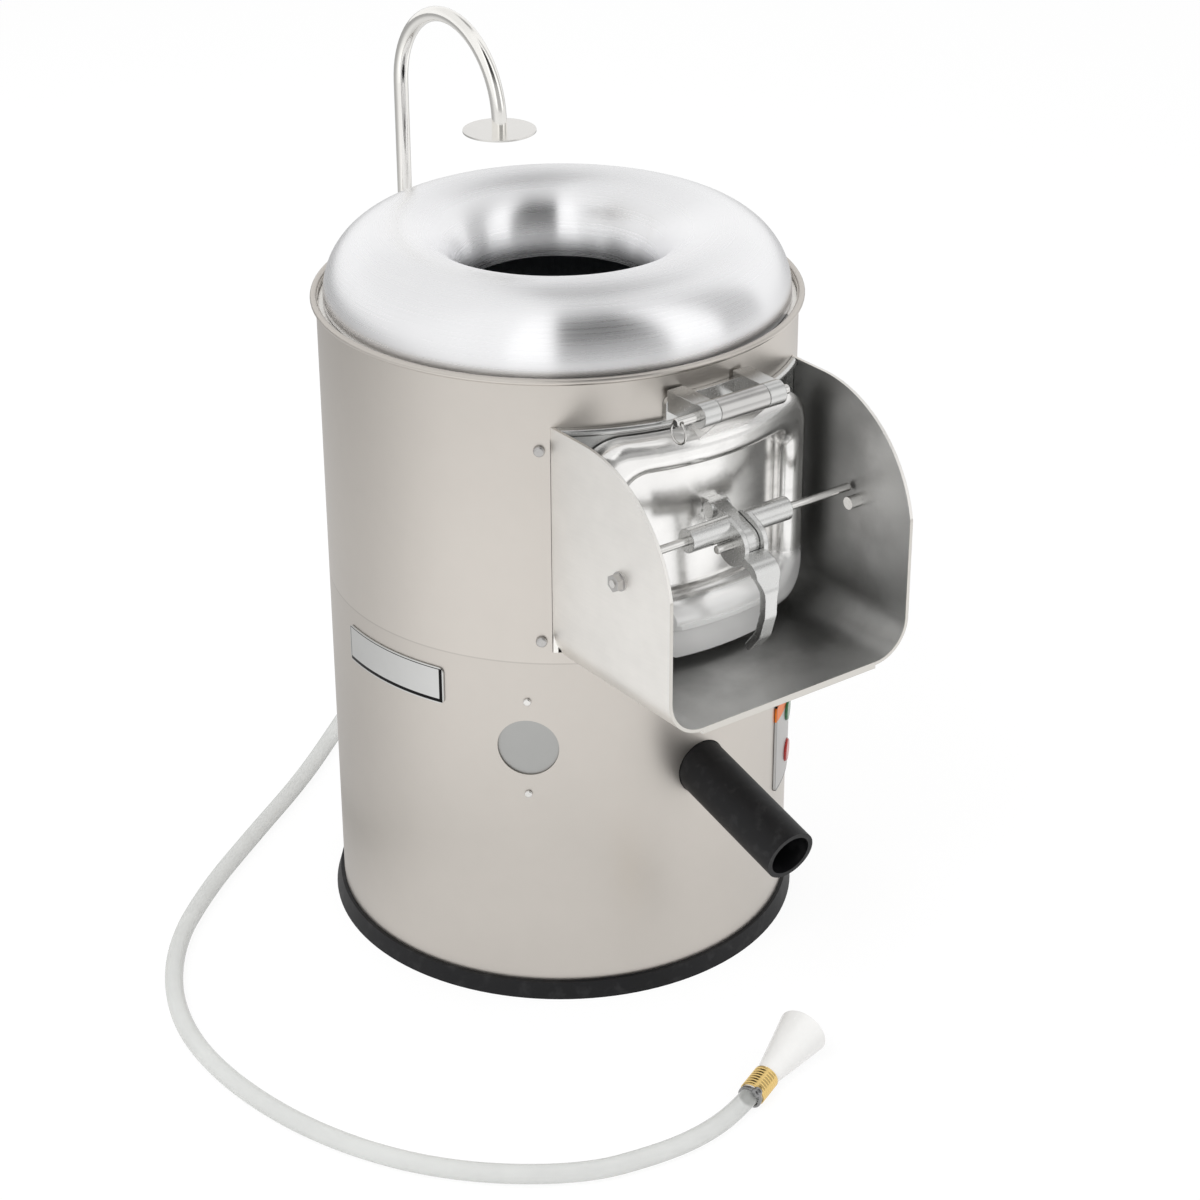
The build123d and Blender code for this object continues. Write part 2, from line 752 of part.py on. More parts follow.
# ------------------------------------------------------------------ door
def make_door_panel():
    skin = front_shell(door_inside, door_outside, door_half_width, door_low, door_high, door_corner)
    inset = door_rib_width
    crest = door_outside + door_rib_height
    field = front_prism(door_half_width - inset, door_low + inset, door_high - inset,
                        door_corner - inset / 2)
    rib = front_shell(door_outside - weld, crest, door_half_width, door_low, door_high,
                      door_corner) - field
    rib = fillet(rib.edges().filter_by(lambda edge: on_crest(edge, crest)), door_rib_round)
    return skin + rib + door_bulge() + door_strap() - door_hinge_bore()


def on_crest(edge, radius):
    """Whether both ends and the middle of an edge lie at a distance from the drum's axis."""
    places = [edge.position_at(share) for share in (0.0, 0.5, 1.0)]
    return all(abs(hypot(place.X, place.Y) - radius) < weld / 10 for place in places)


def door_bulge():
    """Bulge across the door's lower part: a flat foot, a thin ridge and a round upper face."""
    root = door_outside - weld
    foot = door_outside + bulge_foot_height
    crest = door_outside + bulge_height
    ridge = crest + bulge_ridge_height
    low = bulge_ridge - bulge_ridge_width / 2
    high = bulge_ridge + bulge_ridge_width / 2
    round_middle = (root + 0.75 * (crest - root), high + 0.68 * (bulge_top - high))
    section = make_face([
        Line((root, bulge_foot), (foot - weld, bulge_foot)),
        Line((foot - weld, bulge_foot), (foot, bulge_foot + weld)),
        Line((foot, bulge_foot + weld), (foot, low - weld)),
        Line((foot, low - weld), (ridge, low)),
        Line((ridge, low), (ridge, high)),
        Line((ridge, high), (crest, high + weld / 2)),
        ThreePointArc((crest, high + weld / 2), round_middle, (root, bulge_top)),
        Line((root, bulge_top), (root, bulge_foot)),
    ])
    outline = front_prism(bulge_half_width, bulge_foot - weld, bulge_top, bulge_corner)
    plan = RectangleRounded(2 * bulge_half_width, 2 * ridge, bulge_end_round)
    return revolve(Plane.XZ * section, Axis.Z) & outline & extrude(plan, amount=wrapper_top)


def door_strap():
    """Web from the hinge knuckle to the upper shoulder of the door's rib."""
    y, z = hinge_line
    root = -door_inside - weld
    middle = door_high - door_rib_round
    nose = -door_outside - door_rib_height + door_rib_round * (1 - cos(radians(strap_nose)))
    knuckle_front = (y - 0.8 * knuckle_radius, z - 0.5 * knuckle_radius)
    knuckle_back = (y + 0.9 * knuckle_radius, z - 0.4 * knuckle_radius)
    shoulder = (nose, middle + door_rib_round * sin(radians(strap_nose)))
    side = make_face(Polyline(knuckle_front, shoulder, (nose, middle), (root, middle),
                              (root, door_high), knuckle_back, close=True))
    side += Pos(y, z) * Circle(knuckle_radius)
    return across(side, -knuckle_half_length, knuckle_half_length)


def door_hinge_bore():
    end = knuckle_half_length + weld
    return rod(hinge_pin_radius + turn_gap, (-end, *hinge_line), (end, *hinge_line))


def make_gasket():
    outer_half = throat_half_width + gasket_width
    outer = front_shell(gasket_inside, door_inside, outer_half, throat_low - gasket_width,
                        throat_high + gasket_width, throat_corner + gasket_width)
    return outer - throat_opening()


def make_plug():
    return front_shell(plug_inner_radius, door_inside, plug_half_width, plug_low, plug_high,
                       plug_corner)


def make_latch_bracket():
    eye = Pos(*pivot_line) * Circle(eye_radius)
    root = Pos(-bracket_root_reach, bracket_root_height) * Circle(bracket_root_radius)
    arm = make_hull((eye + root).edges())
    bracket = across(arm, -bracket_half_width, bracket_half_width)
    heel = block((-bracket_half_width, bracket_half_width), (-bracket_root_reach, -door_inside),
                 (bracket_root_height - bracket_root_radius * 1.6,
                  bracket_root_height + bracket_root_radius))
    end = bracket_root_half_length
    barrel = rod(bracket_root_radius, (-end, -bracket_root_reach, bracket_root_height),
                 (end, -bracket_root_reach, bracket_root_height))
    bracket = bracket + heel + barrel - disc(door_outside, 0, wrapper_top)
    return bracket - rod(pivot_radius + turn_gap, (-end, *pivot_line), (end, *pivot_line))


# ------------------------------------------------------------------ latch lever
def lever_handle():
    """Curved grip below the lever's hub, wide at the web and narrow in the hand."""
    y, z = pivot_line
    corners = [(y + across_drum, z + up) for across_drum, up in handle_bends]
    grip = trace(FilletPolyline(*corners, radius=handle_bend_radius), handle_thickness)
    grip += Pos(*corners[-1]) * Circle(handle_thickness / 2)
    return across(grip, -cheek_end, cheek_end) & handle_outline()


def handle_outline():
    """Outline of the grip seen from the front, run through the lever from front to back."""
    top = pivot_height + web_outside
    throat = pivot_height - web_outside
    low = throat - handle_throat
    end = pivot_height + handle_bends[-1][1] - handle_thickness
    half = handle_half_width
    waist = (half + 0.2 * (cheek_end - half), low + 0.45 * handle_throat)
    right = [Line((0, top), (cheek_end, top)), Line((cheek_end, top), (cheek_end, throat)),
             ThreePointArc((cheek_end, throat), waist, (half, low)),
             Line((half, low), (half, end)), Line((half, end), (0, end)), Line((0, end), (0, top))]
    face = make_face(right)
    return extrude(Plane.XZ * (face + mirror(face, Plane.YZ)), amount=2 * pivot_reach)


def make_latch_lever():
    outline = Pos(*rod_line) * Circle(boss_radius) + Pos(*pivot_line) * Circle(web_outside)
    cheek = make_hull(outline.edges())
    swing = 2 * web_outside
    start = radians(web_start)
    middle = radians((web_start + web_end) / 2)
    end = radians(web_end)
    wedge = make_face(Polyline((0, 0), (swing * cos(start), swing * sin(start)),
                               (swing * cos(middle), swing * sin(middle)),
                               (swing * cos(end), swing * sin(end)), close=True))
    web = Pos(*pivot_line) * ((Circle(web_outside) - Circle(web_inside)) & wedge)
    lever = across(web, -cheek_end, cheek_end) + lever_handle()
    for side in (-1, 1):
        lever += across(cheek, *sorted((side * cheek_start, side * cheek_end)))
        lever += rod(boss_radius, (side * (cheek_end - weld), *rod_line), (side * boss_end, *rod_line))
        lever -= rod(rod_radius, (side * (boss_end - rod_grip), *rod_line),
                     (side * (boss_end + weld), *rod_line))
    lever -= across(Pos(*pivot_line) * Circle(web_inside), -cheek_start, cheek_start)
    return lever - rod(pivot_radius, (-cheek_end - weld, *pivot_line), (cheek_end + weld, *pivot_line))


def make_latch_rods():
    return group(*[rod(rod_radius, (side * (boss_end - rod_grip), *rod_line),
                       (side * rod_half_length, *rod_line)) for side in (-1, 1)])


def make_pivot_pin():
    right = cheek_end + 2 * weld
    pin = rod(pivot_radius, (-pivot_left, *pivot_line), (right, *pivot_line))
    return chamfer(pin.edges().filter_by(GeomType.CIRCLE), weld / 2)


def make_hinge_pin():
    pin = rod(hinge_pin_radius, (-hinge_pin_left, *hinge_line), (hinge_pin_right, *hinge_line))
    pin = chamfer(pin.edges().filter_by(GeomType.CIRCLE), weld)
    x = -hinge_pin_left + pull_ring_inset
    y, z = hinge_line
    hole = pull_ring_wire + hinge_pin_radius ** 2 / (2 * pull_ring_radius) + slip_gap
    return pin - rod(hole, (x, y - 2 * hinge_pin_radius, z), (x, y + 2 * hinge_pin_radius, z))


def make_pull_ring():
    y, z = hinge_line
    place = Pos(-hinge_pin_left + pull_ring_inset, y, z - pull_ring_radius + slip_gap)
    return place * Rot(0, 90, 0) * Torus(pull_ring_radius, pull_ring_wire)


# ------------------------------------------------------------------ top cover
def make_top_cover():
    round_radius = (cover_outer_radius - cover_mouth_radius) / 2
    middle = (cover_outer_radius + cover_mouth_radius) / 2
    low = tub_top + seat_gap
    centre = low + cover_skirt
    inner_round = round_radius - cover_sheet
    outer_in = cover_outer_radius - cover_sheet
    mouth_in = cover_mouth_radius + cover_sheet
    section = make_face([
        Line((cover_outer_radius, low), (cover_outer_radius, centre)),
        ThreePointArc((cover_outer_radius, centre), (middle, centre + round_radius),
                      (cover_mouth_radius, centre)),
        Line((cover_mouth_radius, centre), (cover_mouth_radius, low + weld)),
        Line((cover_mouth_radius, low + weld), (mouth_in, low + weld)),
        Line((mouth_in, low + weld), (mouth_in, centre)),
        ThreePointArc((mouth_in, centre), (middle, centre + inner_round), (outer_in, centre)),
        Line((outer_in, centre), (outer_in, low)),
        Line((outer_in, low), (cover_outer_radius, low)),
    ])
    return revolve(Plane.XZ * section, Axis.Z)


# ------------------------------------------------------------------ plates and switch
def make_blank_plate():
    outer = wrapper_inside - seat_gap
    half = blank_plate_radius
    plate = ring(outer, outer - blank_plate_wall, blank_height - half, blank_height + half)
    plate &= rod(half, outward(0, blank_height), outward(drum_radius, blank_height))
    for side in (-1, 1):
        height = blank_height + side * blank_screw_offset
        plate -= rod(small_shank_radius + turn_gap, outward(0, height), outward(drum_radius, height))
    return turned(blank_turn, plate)


def make_blank_screws():
    depth = wrapper_wall + 2 * seat_gap + blank_plate_wall + 2 * weld
    return group(*[screw(drum_radius, small_head_radius, small_head_height, small_shank_radius, depth,
                         blank_turn, blank_height + side * blank_screw_offset) for side in (-1, 1)])


def make_nameplate():
    half = drum_radius * sin(radians(degrees(name_width / drum_radius) / 2))
    low = name_height - name_tall / 2
    plate = front_shell(drum_radius + seat_gap, drum_radius + seat_gap + name_wall, half, low,
                        low + name_tall, 4 * name_wall)
    return turned(name_turn, plate)


def button_height(side):
    return switch_height + side * button_spread


def make_switch_plate():
    half = drum_radius * sin(switch_width / drum_radius / 2)
    low = switch_height - switch_tall / 2
    plate = front_shell(drum_radius + seat_gap, drum_radius + seat_gap + switch_plate_wall, half, low,
                        low + switch_tall, 4 * switch_plate_wall)
    for side in (-1, 1):
        plate -= rod(button_radius + seat_gap, outward(0, button_height(side)),
                     outward(2 * drum_radius, button_height(side)))
    return turned(switch_turn, plate)


def make_switch_box():
    """Closed switch body behind the wrapper, with one blind bore for each button."""
    front = wrapper_inside * cos(asin(switch_box_width / 2 / wrapper_inside)) - seat_gap
    half = switch_box_width / 2
    body = block((-half, half), (-front, switch_box_depth - front),
                 (switch_height - 2 * button_spread, switch_height + 2 * button_spread))
    well = button_cap_low() - button_travel - cheek_gap
    bottom = well - button_stem_length
    for side in (-1, 1):
        body -= rod(button_stem_radius + turn_gap, outward(bottom, button_height(side)),
                    outward(drum_radius, button_height(side)))
        body -= rod(button_radius + seat_gap, outward(well, button_height(side)),
                    outward(drum_radius, button_height(side)))
    return turned(switch_turn, body)


def button_cap_low():
    """Distance of a button cap's inner face from the drum's axis."""
    return wrapper_inside - button_sink


def make_button(side):
    height = button_height(side)
    plate_face = drum_radius + seat_gap + switch_plate_wall
    low = button_cap_low()
    cap = rod(button_radius, outward(low, height), outward(plate_face + button_stand, height))
    cap = chamfer(cap.edges().filter_by(GeomType.CIRCLE).sort_by(Axis.Y)[0], weld)
    stem = rod(button_stem_radius, outward(low - button_stem_length, height),
               outward(low + weld, height))
    return turned(switch_turn, cap + stem)


def make_gland():
    inner = spot(gland_turn, drum_radius - wrapper_wall - gland_inside, gland_height)
    outer = spot(gland_turn, drum_radius + gland_outside, gland_height)
    step = (outer - inner).normalized()
    body = pipe(gland_radius, gland_bore, inner, outer)
    face = inner + step * (gland_inside + wrapper_wall + seat_gap)
    back = inner + step * (gland_inside - gland_back_gap)
    body += nut(gland_nut_across, gland_radius - weld / 4, face, face + step * gland_nut_height)
    return body + nut(gland_nut_across, gland_radius - weld / 4, back - step * gland_nut_height, back)


# ------------------------------------------------------------------ drain
def make_drain_elbow():
    """Bend with a flange under the pan and a spigot inside the drain tube."""
    outer = drain_bore - slip_gap
    top = Vector(elbow_corner.X, elbow_corner.Y, pan_floor)
    path = FilletPolyline(top, elbow_corner, drain_gate, radius=elbow_bend)
    section = Plane(origin=top, z_dir=(0, 0, -1)) * (Circle(outer) - Circle(outer - elbow_wall))
    flange = pipe(elbow_flange_radius, outer - elbow_wall / 2, top - Vector(0, 0, elbow_flange_wall), top)
    return sweep(section, path) + flange


def make_drain_hose():
    hose = pipe(drain_radius, drain_bore - drain_step, drain_at(-drain_inside), drain_at(drain_length))
    return hose - rod(drain_bore, drain_at(-drain_inside - weld), drain_at(seat_gap))


def make_drain_clamp():
    middle = drain_at(-drain_inside + drain_clamp_width)
    half = drain_run * (drain_clamp_width / 2)
    outer = drain_radius + slip_gap + drain_clamp_wall
    return pipe(outer, drain_radius + slip_gap, middle - half, middle + half)


# ------------------------------------------------------------------ disc and shaft
def make_abrasive_disc():
    plate = disc(disc_radius, disc_low, disc_top)
    plate = chamfer(plate.edges().filter_by(GeomType.CIRCLE).sort_by(Axis.Z)[-1], disc_wall / 2)
    ridge_inner = hub_radius * 0.5
    for number in range(disc_ridge_count):
        turn = number * 360 / disc_ridge_count
        drop = disc_ridge_radius - disc_ridge
        ridge = rod(disc_ridge_radius, spot(turn, ridge_inner, disc_top - drop),
                    spot(turn, disc_radius - 2 * disc_wall, disc_top - drop))
        plate += ridge & disc(disc_radius, disc_top - weld, disc_top + disc_ridge_radius)
    key = drive_key / 2 + seat_gap
    return plate - block((-key, key), (-key, key), (disc_low - weld, disc_low + drive_key_height + weld / 2))


def make_drive_hub():
    hub = ring(hub_radius, shaft_radius, hub_low, disc_low)
    key = drive_key / 2
    cap = block((-key, key), (-key, key), (disc_low - weld, disc_low + drive_key_height))
    return hub + cap


def make_main_shaft():
    return disc(shaft_radius, shaft_low, disc_low - weld)


def make_slinger():
    top = hub_low
    low = top - slinger_wall
    cap = ring(slinger_radius, shaft_radius, low, top)
    return cap + ring(slinger_radius, slinger_radius - slinger_wall, low - slinger_skirt, low + weld / 2)


def make_bearing_housing():
    tube = ring(housing_radius, housing_bore, housing_low, housing_high)
    lower = housing_low + bearing_width
    upper = housing_high - bearing_depth - bearing_width
    tube += ring(housing_bore + weld, bearing_radius - 2 * weld, lower + slip_gap, upper - slip_gap)
    flange = ring(housing_flange_radius, housing_radius - weld, pan_floor - housing_flange_wall, pan_floor)
    return tube + flange


def bearing(low):
    """Ball bearing as an outer ring, an inner ring and the balls between them."""
    ball = (bearing_radius - shaft_radius) / 4
    middle = (bearing_radius + shaft_radius) / 2
    height = low + bearing_width / 2
    groove = Pos(0, 0, height) * Torus(middle, ball + turn_gap)
    outer = ring(bearing_radius, middle + ball / 2, low, low + bearing_width) - groove
    inner = ring(middle - ball / 2, shaft_radius + turn_gap, low, low + bearing_width) - groove
    balls = [place * Pos(0, 0, height) * Sphere(ball) for place in PolarLocations(middle, 12)]
    return group(outer, inner, *balls)


def make_lower_bearing():
    return bearing(housing_low)


def make_upper_bearing():
    return bearing(housing_high - bearing_depth - bearing_width)


def make_shaft_seal():
    low = housing_high - bearing_depth + slip_gap
    return ring(bearing_radius, shaft_radius + turn_gap, low, low + seal_width)


# ------------------------------------------------------------------ pulleys and belt
def pulley(radius, bore):
    """V-belt pulley about the drum's axis."""
    high = pulley_low + pulley_width
    wheel = ring(radius, bore, pulley_low, high)
    half = groove_width / 2
    cut = radius - groove_depth
    wheel -= ring(radius + weld, cut, groove_middle - half, groove_middle + half)
    if cut > 2 * pulley_hub_radius:
        web = (pulley_width - pulley_web) / 2
        recess = ring(cut - 3 * weld, pulley_hub_radius, pulley_low - weld, pulley_low + web)
        wheel -= recess
        wheel -= Pos(0, 0, pulley_width - web + weld) * recess
    return wheel


def make_driven_pulley():
    return pulley(big_pulley_radius, shaft_radius)


def make_motor_pulley():
    return Pos(0, motor_offset, 0) * pulley(small_pulley_radius, motor_shaft_radius)


def make_drive_belt():
    big = big_pulley_radius - belt_inset
    small = small_pulley_radius - belt_inset
    outer = make_hull((Circle(big) + Pos(0, motor_offset) * Circle(small)).edges())
    inner = make_hull((Circle(big - belt_height)
                       + Pos(0, motor_offset) * Circle(small - belt_height)).edges())
    low = groove_middle - belt_width / 2
    return extrude(Plane.XY.offset(low) * (outer - inner), amount=belt_width)


# ------------------------------------------------------------------ motor
def at_motor(piece):
    return Pos(0, motor_offset, 0) * piece


def make_motor_body():
    low = motor_low + motor_bell
    high = motor_high - motor_bell
    return at_motor(ring(motor_radius, motor_radius - motor_wall, low, high))


def make_motor_bells():
    bells = []
    for low, inner_face in ((motor_low, motor_low), (motor_high - motor_bell, motor_high - motor_bell)):
        bell = disc(motor_radius, low, low + motor_bell)
        bell -= disc(motor_shaft_radius + turn_gap, low - weld, low + motor_bell + weld)
        hollow = motor_wall if low == motor_low else -motor_wall
        bell -= ring(motor_radius - 2 * motor_wall, 3 * motor_shaft_radius, inner_face + hollow,
                     inner_face + hollow + motor_bell)
        bells.append(at_motor(bell))
    return group(*bells)


def stator_low():
    return motor_low + (motor_length - stator_height) / 2


def make_stator():
    low = stator_low()
    return at_motor(ring(motor_radius - motor_wall, stator_bore, low, low + stator_height))


def make_rotor_core():
    low = stator_low()
    return at_motor(ring(stator_bore - rotor_gap, motor_shaft_radius, low, low + stator_height))


def make_motor_shaft():
    return at_motor(disc(motor_shaft_radius, pulley_low, motor_high - motor_wall / 2))


def make_motor_plate():
    top = motor_low
    low = top - motor_plate_wall
    back = post_circle * cos(radians(abs(post_turns[1]))) * -1
    side = post_circle * sin(radians(abs(post_turns[1])))
    reach = 2 * post_collar_radius
    plate = block((-side - reach, side + reach),
                  (motor_offset - 0.9 * motor_radius, back + reach), (low, top))
    plate &= disc(liner_outside, low, top)
    plate -= at_motor(disc(small_pulley_radius + 2 * weld, low - weld, top + weld))
    for turn in post_turns[1:3]:
        plate -= rod(post_radius + turn_gap, spot(turn, post_circle, 0), spot(turn, post_circle, 2 * top))
    return plate


def make_capacitor():
    foot = spot(capacitor_turn, liner_outside - capacitor_inset, motor_low)
    can = Pos(foot) * Cylinder(capacitor_radius, capacitor_height, align=from_base)
    return fillet(can.edges().filter_by(GeomType.CIRCLE).sort_by(Axis.Z)[-1], 2 * weld)


# ------------------------------------------------------------------ water pipe
def make_gooseneck():
    """Upright pipe that bends over the drum in a half circle."""
    near = pipe_reach - 2 * pipe_arch
    top = pipe_arch_height
    path = Line((pipe_x, pipe_reach, pipe_low), (pipe_x, pipe_reach, top))
    path += ThreePointArc((pipe_x, pipe_reach, top), (pipe_x, pipe_reach - pipe_arch, top + pipe_arch),
                          (pipe_x, near, top))
    path += Line((pipe_x, near, top), (pipe_x, near, top - pipe_outlet_drop))
    section = Plane(origin=(pipe_x, pipe_reach, pipe_low)) * (Circle(pipe_radius) - Circle(pipe_bore))
    return sweep(section, path)


def make_deflector():
    near = pipe_reach - 2 * pipe_arch
    top = pipe_arch_height - pipe_outlet_drop
    return pipe(deflector_radius, pipe_bore, (pipe_x, near, top - deflector_wall), (pipe_x, near, top))


def make_clips():
    clips = []
    for height in clip_heights:
        foot = Pos(pipe_x, pipe_reach - pipe_radius) * Rectangle(2 * clip_foot, 4 * clip_wall)
        loop = Pos(pipe_x, pipe_reach) * Circle(pipe_radius + slip_gap + clip_wall)
        hole = Pos(pipe_x, pipe_reach) * Circle(pipe_radius + slip_gap)
        foot += Pos(pipe_x, pipe_reach - pipe_radius - 2 * clip_wall) * Rectangle(2 * clip_foot,
                                                                               clip_foot_depth)
        cut = Pos(pipe_x, pipe_reach) * Rectangle(4 * clip_foot, 2 * clip_wall * 4)
        blank = foot - cut + loop - hole - Circle(drum_radius + slip_gap)
        clip = extrude(Plane.XY.offset(height - clip_width / 2) * blank, amount=clip_width)
        for side in (-1, 1):
            clip -= clip_screw_hole(side, height)
        clips.append(clip)
    return group(*clips)


def clip_face():
    """Outer face of a clip's foot, measured from the drum's axis plane."""
    return pipe_reach - 4 * clip_wall


def make_clip_screws():
    screws = []
    for height in clip_heights:
        for side in (-1, 1):
            x = pipe_x + side * clip_screw_offset
            face = clip_face()
            head = rod(small_head_radius, (x, face, height), (x, face + small_head_height, height))
            inner = drum_radius - wrapper_wall - 4 * weld
            screws.append(head + rod(small_shank_radius, (x, inner, height), (x, face + weld, height)))
    return group(*screws)


def hose_start():
    return hose_route[0]


def hose_first_run():
    return (hose_route[1] - hose_route[0]).normalized()


def make_inlet_fitting():
    """Swivel socket for the pipe, with a foot on the wrapper and a barb for the hose."""
    axis = Vector(pipe_x, pipe_reach, 0)
    body = rod(inlet_radius, axis + Vector(0, 0, inlet_low), axis + Vector(0, 0, inlet_high))
    foot = block((pipe_x - inlet_foot, pipe_x + inlet_foot), (drum_radius - 4 * wrapper_wall, pipe_reach),
                 (inlet_low, inlet_high))
    body += foot - disc(drum_radius + slip_gap, 0, wrapper_top)
    barb_root = hose_start() - hose_first_run() * inlet_radius
    barb_end = hose_start() + hose_first_run() * (barb_length - inlet_radius)
    body += rod(hose_radius, barb_root, hose_start() - hose_first_run() * turn_gap)
    body += rod(hose_bore - turn_gap * 2, barb_root, barb_end)
    body -= rod(pipe_radius + turn_gap, axis + Vector(0, 0, pipe_low - seat_gap),
                axis + Vector(0, 0, inlet_high + weld))
    body -= rod(pipe_bore, axis + Vector(0, 0, inlet_turn_height), axis + Vector(0, 0, pipe_low))
    return body - rod(pipe_bore - 2 * weld, barb_root, barb_end + hose_first_run())


def make_inlet_clamp():
    start = hose_start() + hose_first_run() * (inlet_radius * 0.4)
    end = start + hose_first_run() * hose_clamp_width
    inner = hose_radius + turn_gap
    band = pipe(inner + hose_clamp_wall, inner, start, end)
    middle = start + hose_first_run() * (hose_clamp_width / 2)
    top = Plane(origin=middle, x_dir=(0, 1, 0), z_dir=hose_first_run())
    housing = Box(clamp_screw_length, clamp_screw_height, hose_clamp_width)
    screw_box = top * Pos(0, inner + hose_clamp_wall + 2 * weld, 0) * housing
    return band + screw_box


def corner_radii(points):
    """Largest even arc at each corner of a route of straight runs."""
    radii = []
    for before, here, after in zip(points, points[1:], points[2:]):
        first = here - before
        second = after - here
        shorter = min(first.length, second.length)
        radii.append(0.45 * shorter / tan(radians(first.get_angle(second) / 2)))
    return radii


def hose_path():
    return FilletPolyline(*hose_route, radius=corner_radii(hose_route))


def make_water_hose():
    path = hose_path()
    section = Plane(origin=hose_start(), z_dir=hose_first_run())
    return sweep(section * (Circle(hose_radius) - Circle(hose_bore)), path)


def adapter_run():
    return (adapter_mouth_centre - adapter_neck_centre).normalized()


def along_adapter(piece):
    """Places a piece made about +Z so that its origin lies in the middle of the adapter's neck."""
    return Plane(origin=adapter_neck_centre, z_dir=adapter_run()) * piece


def make_faucet_adapter():
    bore = hose_radius + seat_gap
    neck = bore + neck_wall
    half = neck_length / 2
    mouth = adapter_mouth_radius
    wall = adapter_wall
    return along_adapter(lathe((bore, -half), (neck, -half), (neck, half), (mouth, adapter_length),
                               (mouth - wall, adapter_length), (bore, half)))


def make_adapter_clamp():
    inner = hose_radius + seat_gap + neck_wall + slip_gap
    half = brass_clamp_width / 2
    return along_adapter(ring(inner + brass_clamp_wall, inner, -half, half))


# ------------------------------------------------------------------ assembly
def build_parts():
    """Every piece of the machine by its node name."""
    return {
        "wrapper_shell": make_wrapper(),
        "base_ring": make_base_ring(),
        "base_plate": make_base_plate(),
        "frame_posts": make_posts(),
        "drain_pan": make_drain_pan(),
        "hopper_tub": make_tub(),
        "hopper_liner": make_liner(),
        "chute": make_chute(),
        "chute_screws": make_chute_screws(),
        "latch_studs": make_studs(),
        "stud_nuts": make_stud_nuts(),
        "door_frame": make_door_frame(),
        "door_panel": make_door_panel(),
        "door_gasket": make_gasket(),
        "door_plug": make_plug(),
        "latch_bracket": make_latch_bracket(),
        "latch_lever": make_latch_lever(),
        "latch_rods": make_latch_rods(),
        "latch_pivot_pin": make_pivot_pin(),
        "hinge_pin": make_hinge_pin(),
        "hinge_pin_ring": make_pull_ring(),
        "top_cover": make_top_cover(),
        "blank_plate": make_blank_plate(),
        "blank_screws": make_blank_screws(),
        "nameplate": make_nameplate(),
        "switch_plate": make_switch_plate(),
        "switch_box": make_switch_box(),
        "start_button": make_button(1),
        "stop_button": make_button(-1),
        "cord_gland": make_gland(),
        "drain_elbow": make_drain_elbow(),
        "drain_hose": make_drain_hose(),
        "drain_clamp": make_drain_clamp(),
        "abrasive_disc": make_abrasive_disc(),
        "drive_hub": make_drive_hub(),
        "main_shaft": make_main_shaft(),
        "slinger": make_slinger(),
        "bearing_housing": make_bearing_housing(),
        "lower_bearing": make_lower_bearing(),
        "upper_bearing": make_upper_bearing(),
        "shaft_seal": make_shaft_seal(),
        "driven_pulley": make_driven_pulley(),
        "motor_pulley": make_motor_pulley(),
        "drive_belt": make_drive_belt(),
        "motor_body": make_motor_body(),
        "motor_bells": make_motor_bells(),
        "motor_stator": make_stator(),
        "motor_rotor": make_rotor_core(),
        "motor_shaft": make_motor_shaft(),
        "motor_plate": make_motor_plate(),
        "motor_capacitor": make_capacitor(),
        "gooseneck_pipe": make_gooseneck(),
        "deflector_disc": make_deflector(),
        "pipe_clips": make_clips(),
        "clip_screws": make_clip_screws(),
        "inlet_fitting": make_inlet_fitting(),
        "inlet_clamp": make_inlet_clamp(),
        "water_hose": make_water_hose(),
        "adapter_clamp": make_adapter_clamp(),
        "faucet_adapter": make_faucet_adapter(),
    }


def report_hose(parts):
    """Prints the hose's length and radii, and its volume beside its section times its length."""
    length = hose_path().length
    section = pi * (hose_radius ** 2 - hose_bore ** 2)
    print("hose length", round(length, 1), "radii", [round(r) for r in corner_radii(hose_route)])
    print("hose volume", round(parts["water_hose"].volume), "section x length", round(section * length))


def main():
    os.makedirs("parts", exist_ok=True)
    parts = build_parts()
    for name, piece in parts.items():
        export_step(piece, f"parts/{name}.step")
    report_hose(parts)


main()
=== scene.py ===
"""Dresses the potato peeler: shaped pieces, finishes, water hose, camera, floor and light."""
import json
import logging
import math
from dataclasses import dataclass
from enum import Enum
from typing import Iterable, Sequence

import bmesh
import bpy
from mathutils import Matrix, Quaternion, Vector


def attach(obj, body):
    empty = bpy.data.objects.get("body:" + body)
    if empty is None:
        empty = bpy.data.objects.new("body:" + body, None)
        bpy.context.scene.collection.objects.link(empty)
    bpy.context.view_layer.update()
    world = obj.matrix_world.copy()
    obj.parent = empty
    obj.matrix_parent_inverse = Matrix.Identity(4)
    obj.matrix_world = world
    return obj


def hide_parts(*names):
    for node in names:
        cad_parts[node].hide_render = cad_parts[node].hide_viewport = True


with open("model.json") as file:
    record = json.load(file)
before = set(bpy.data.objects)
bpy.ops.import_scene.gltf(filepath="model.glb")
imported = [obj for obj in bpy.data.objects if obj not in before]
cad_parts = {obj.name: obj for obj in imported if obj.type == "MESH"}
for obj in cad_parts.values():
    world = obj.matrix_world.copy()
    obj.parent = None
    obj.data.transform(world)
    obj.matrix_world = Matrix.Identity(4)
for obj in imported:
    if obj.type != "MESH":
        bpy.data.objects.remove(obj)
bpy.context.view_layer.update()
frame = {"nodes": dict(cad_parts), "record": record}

log = logging.getLogger("peeler")
MM = 0.001
Point = tuple[float, float, float]
Colour = tuple[float, float, float]


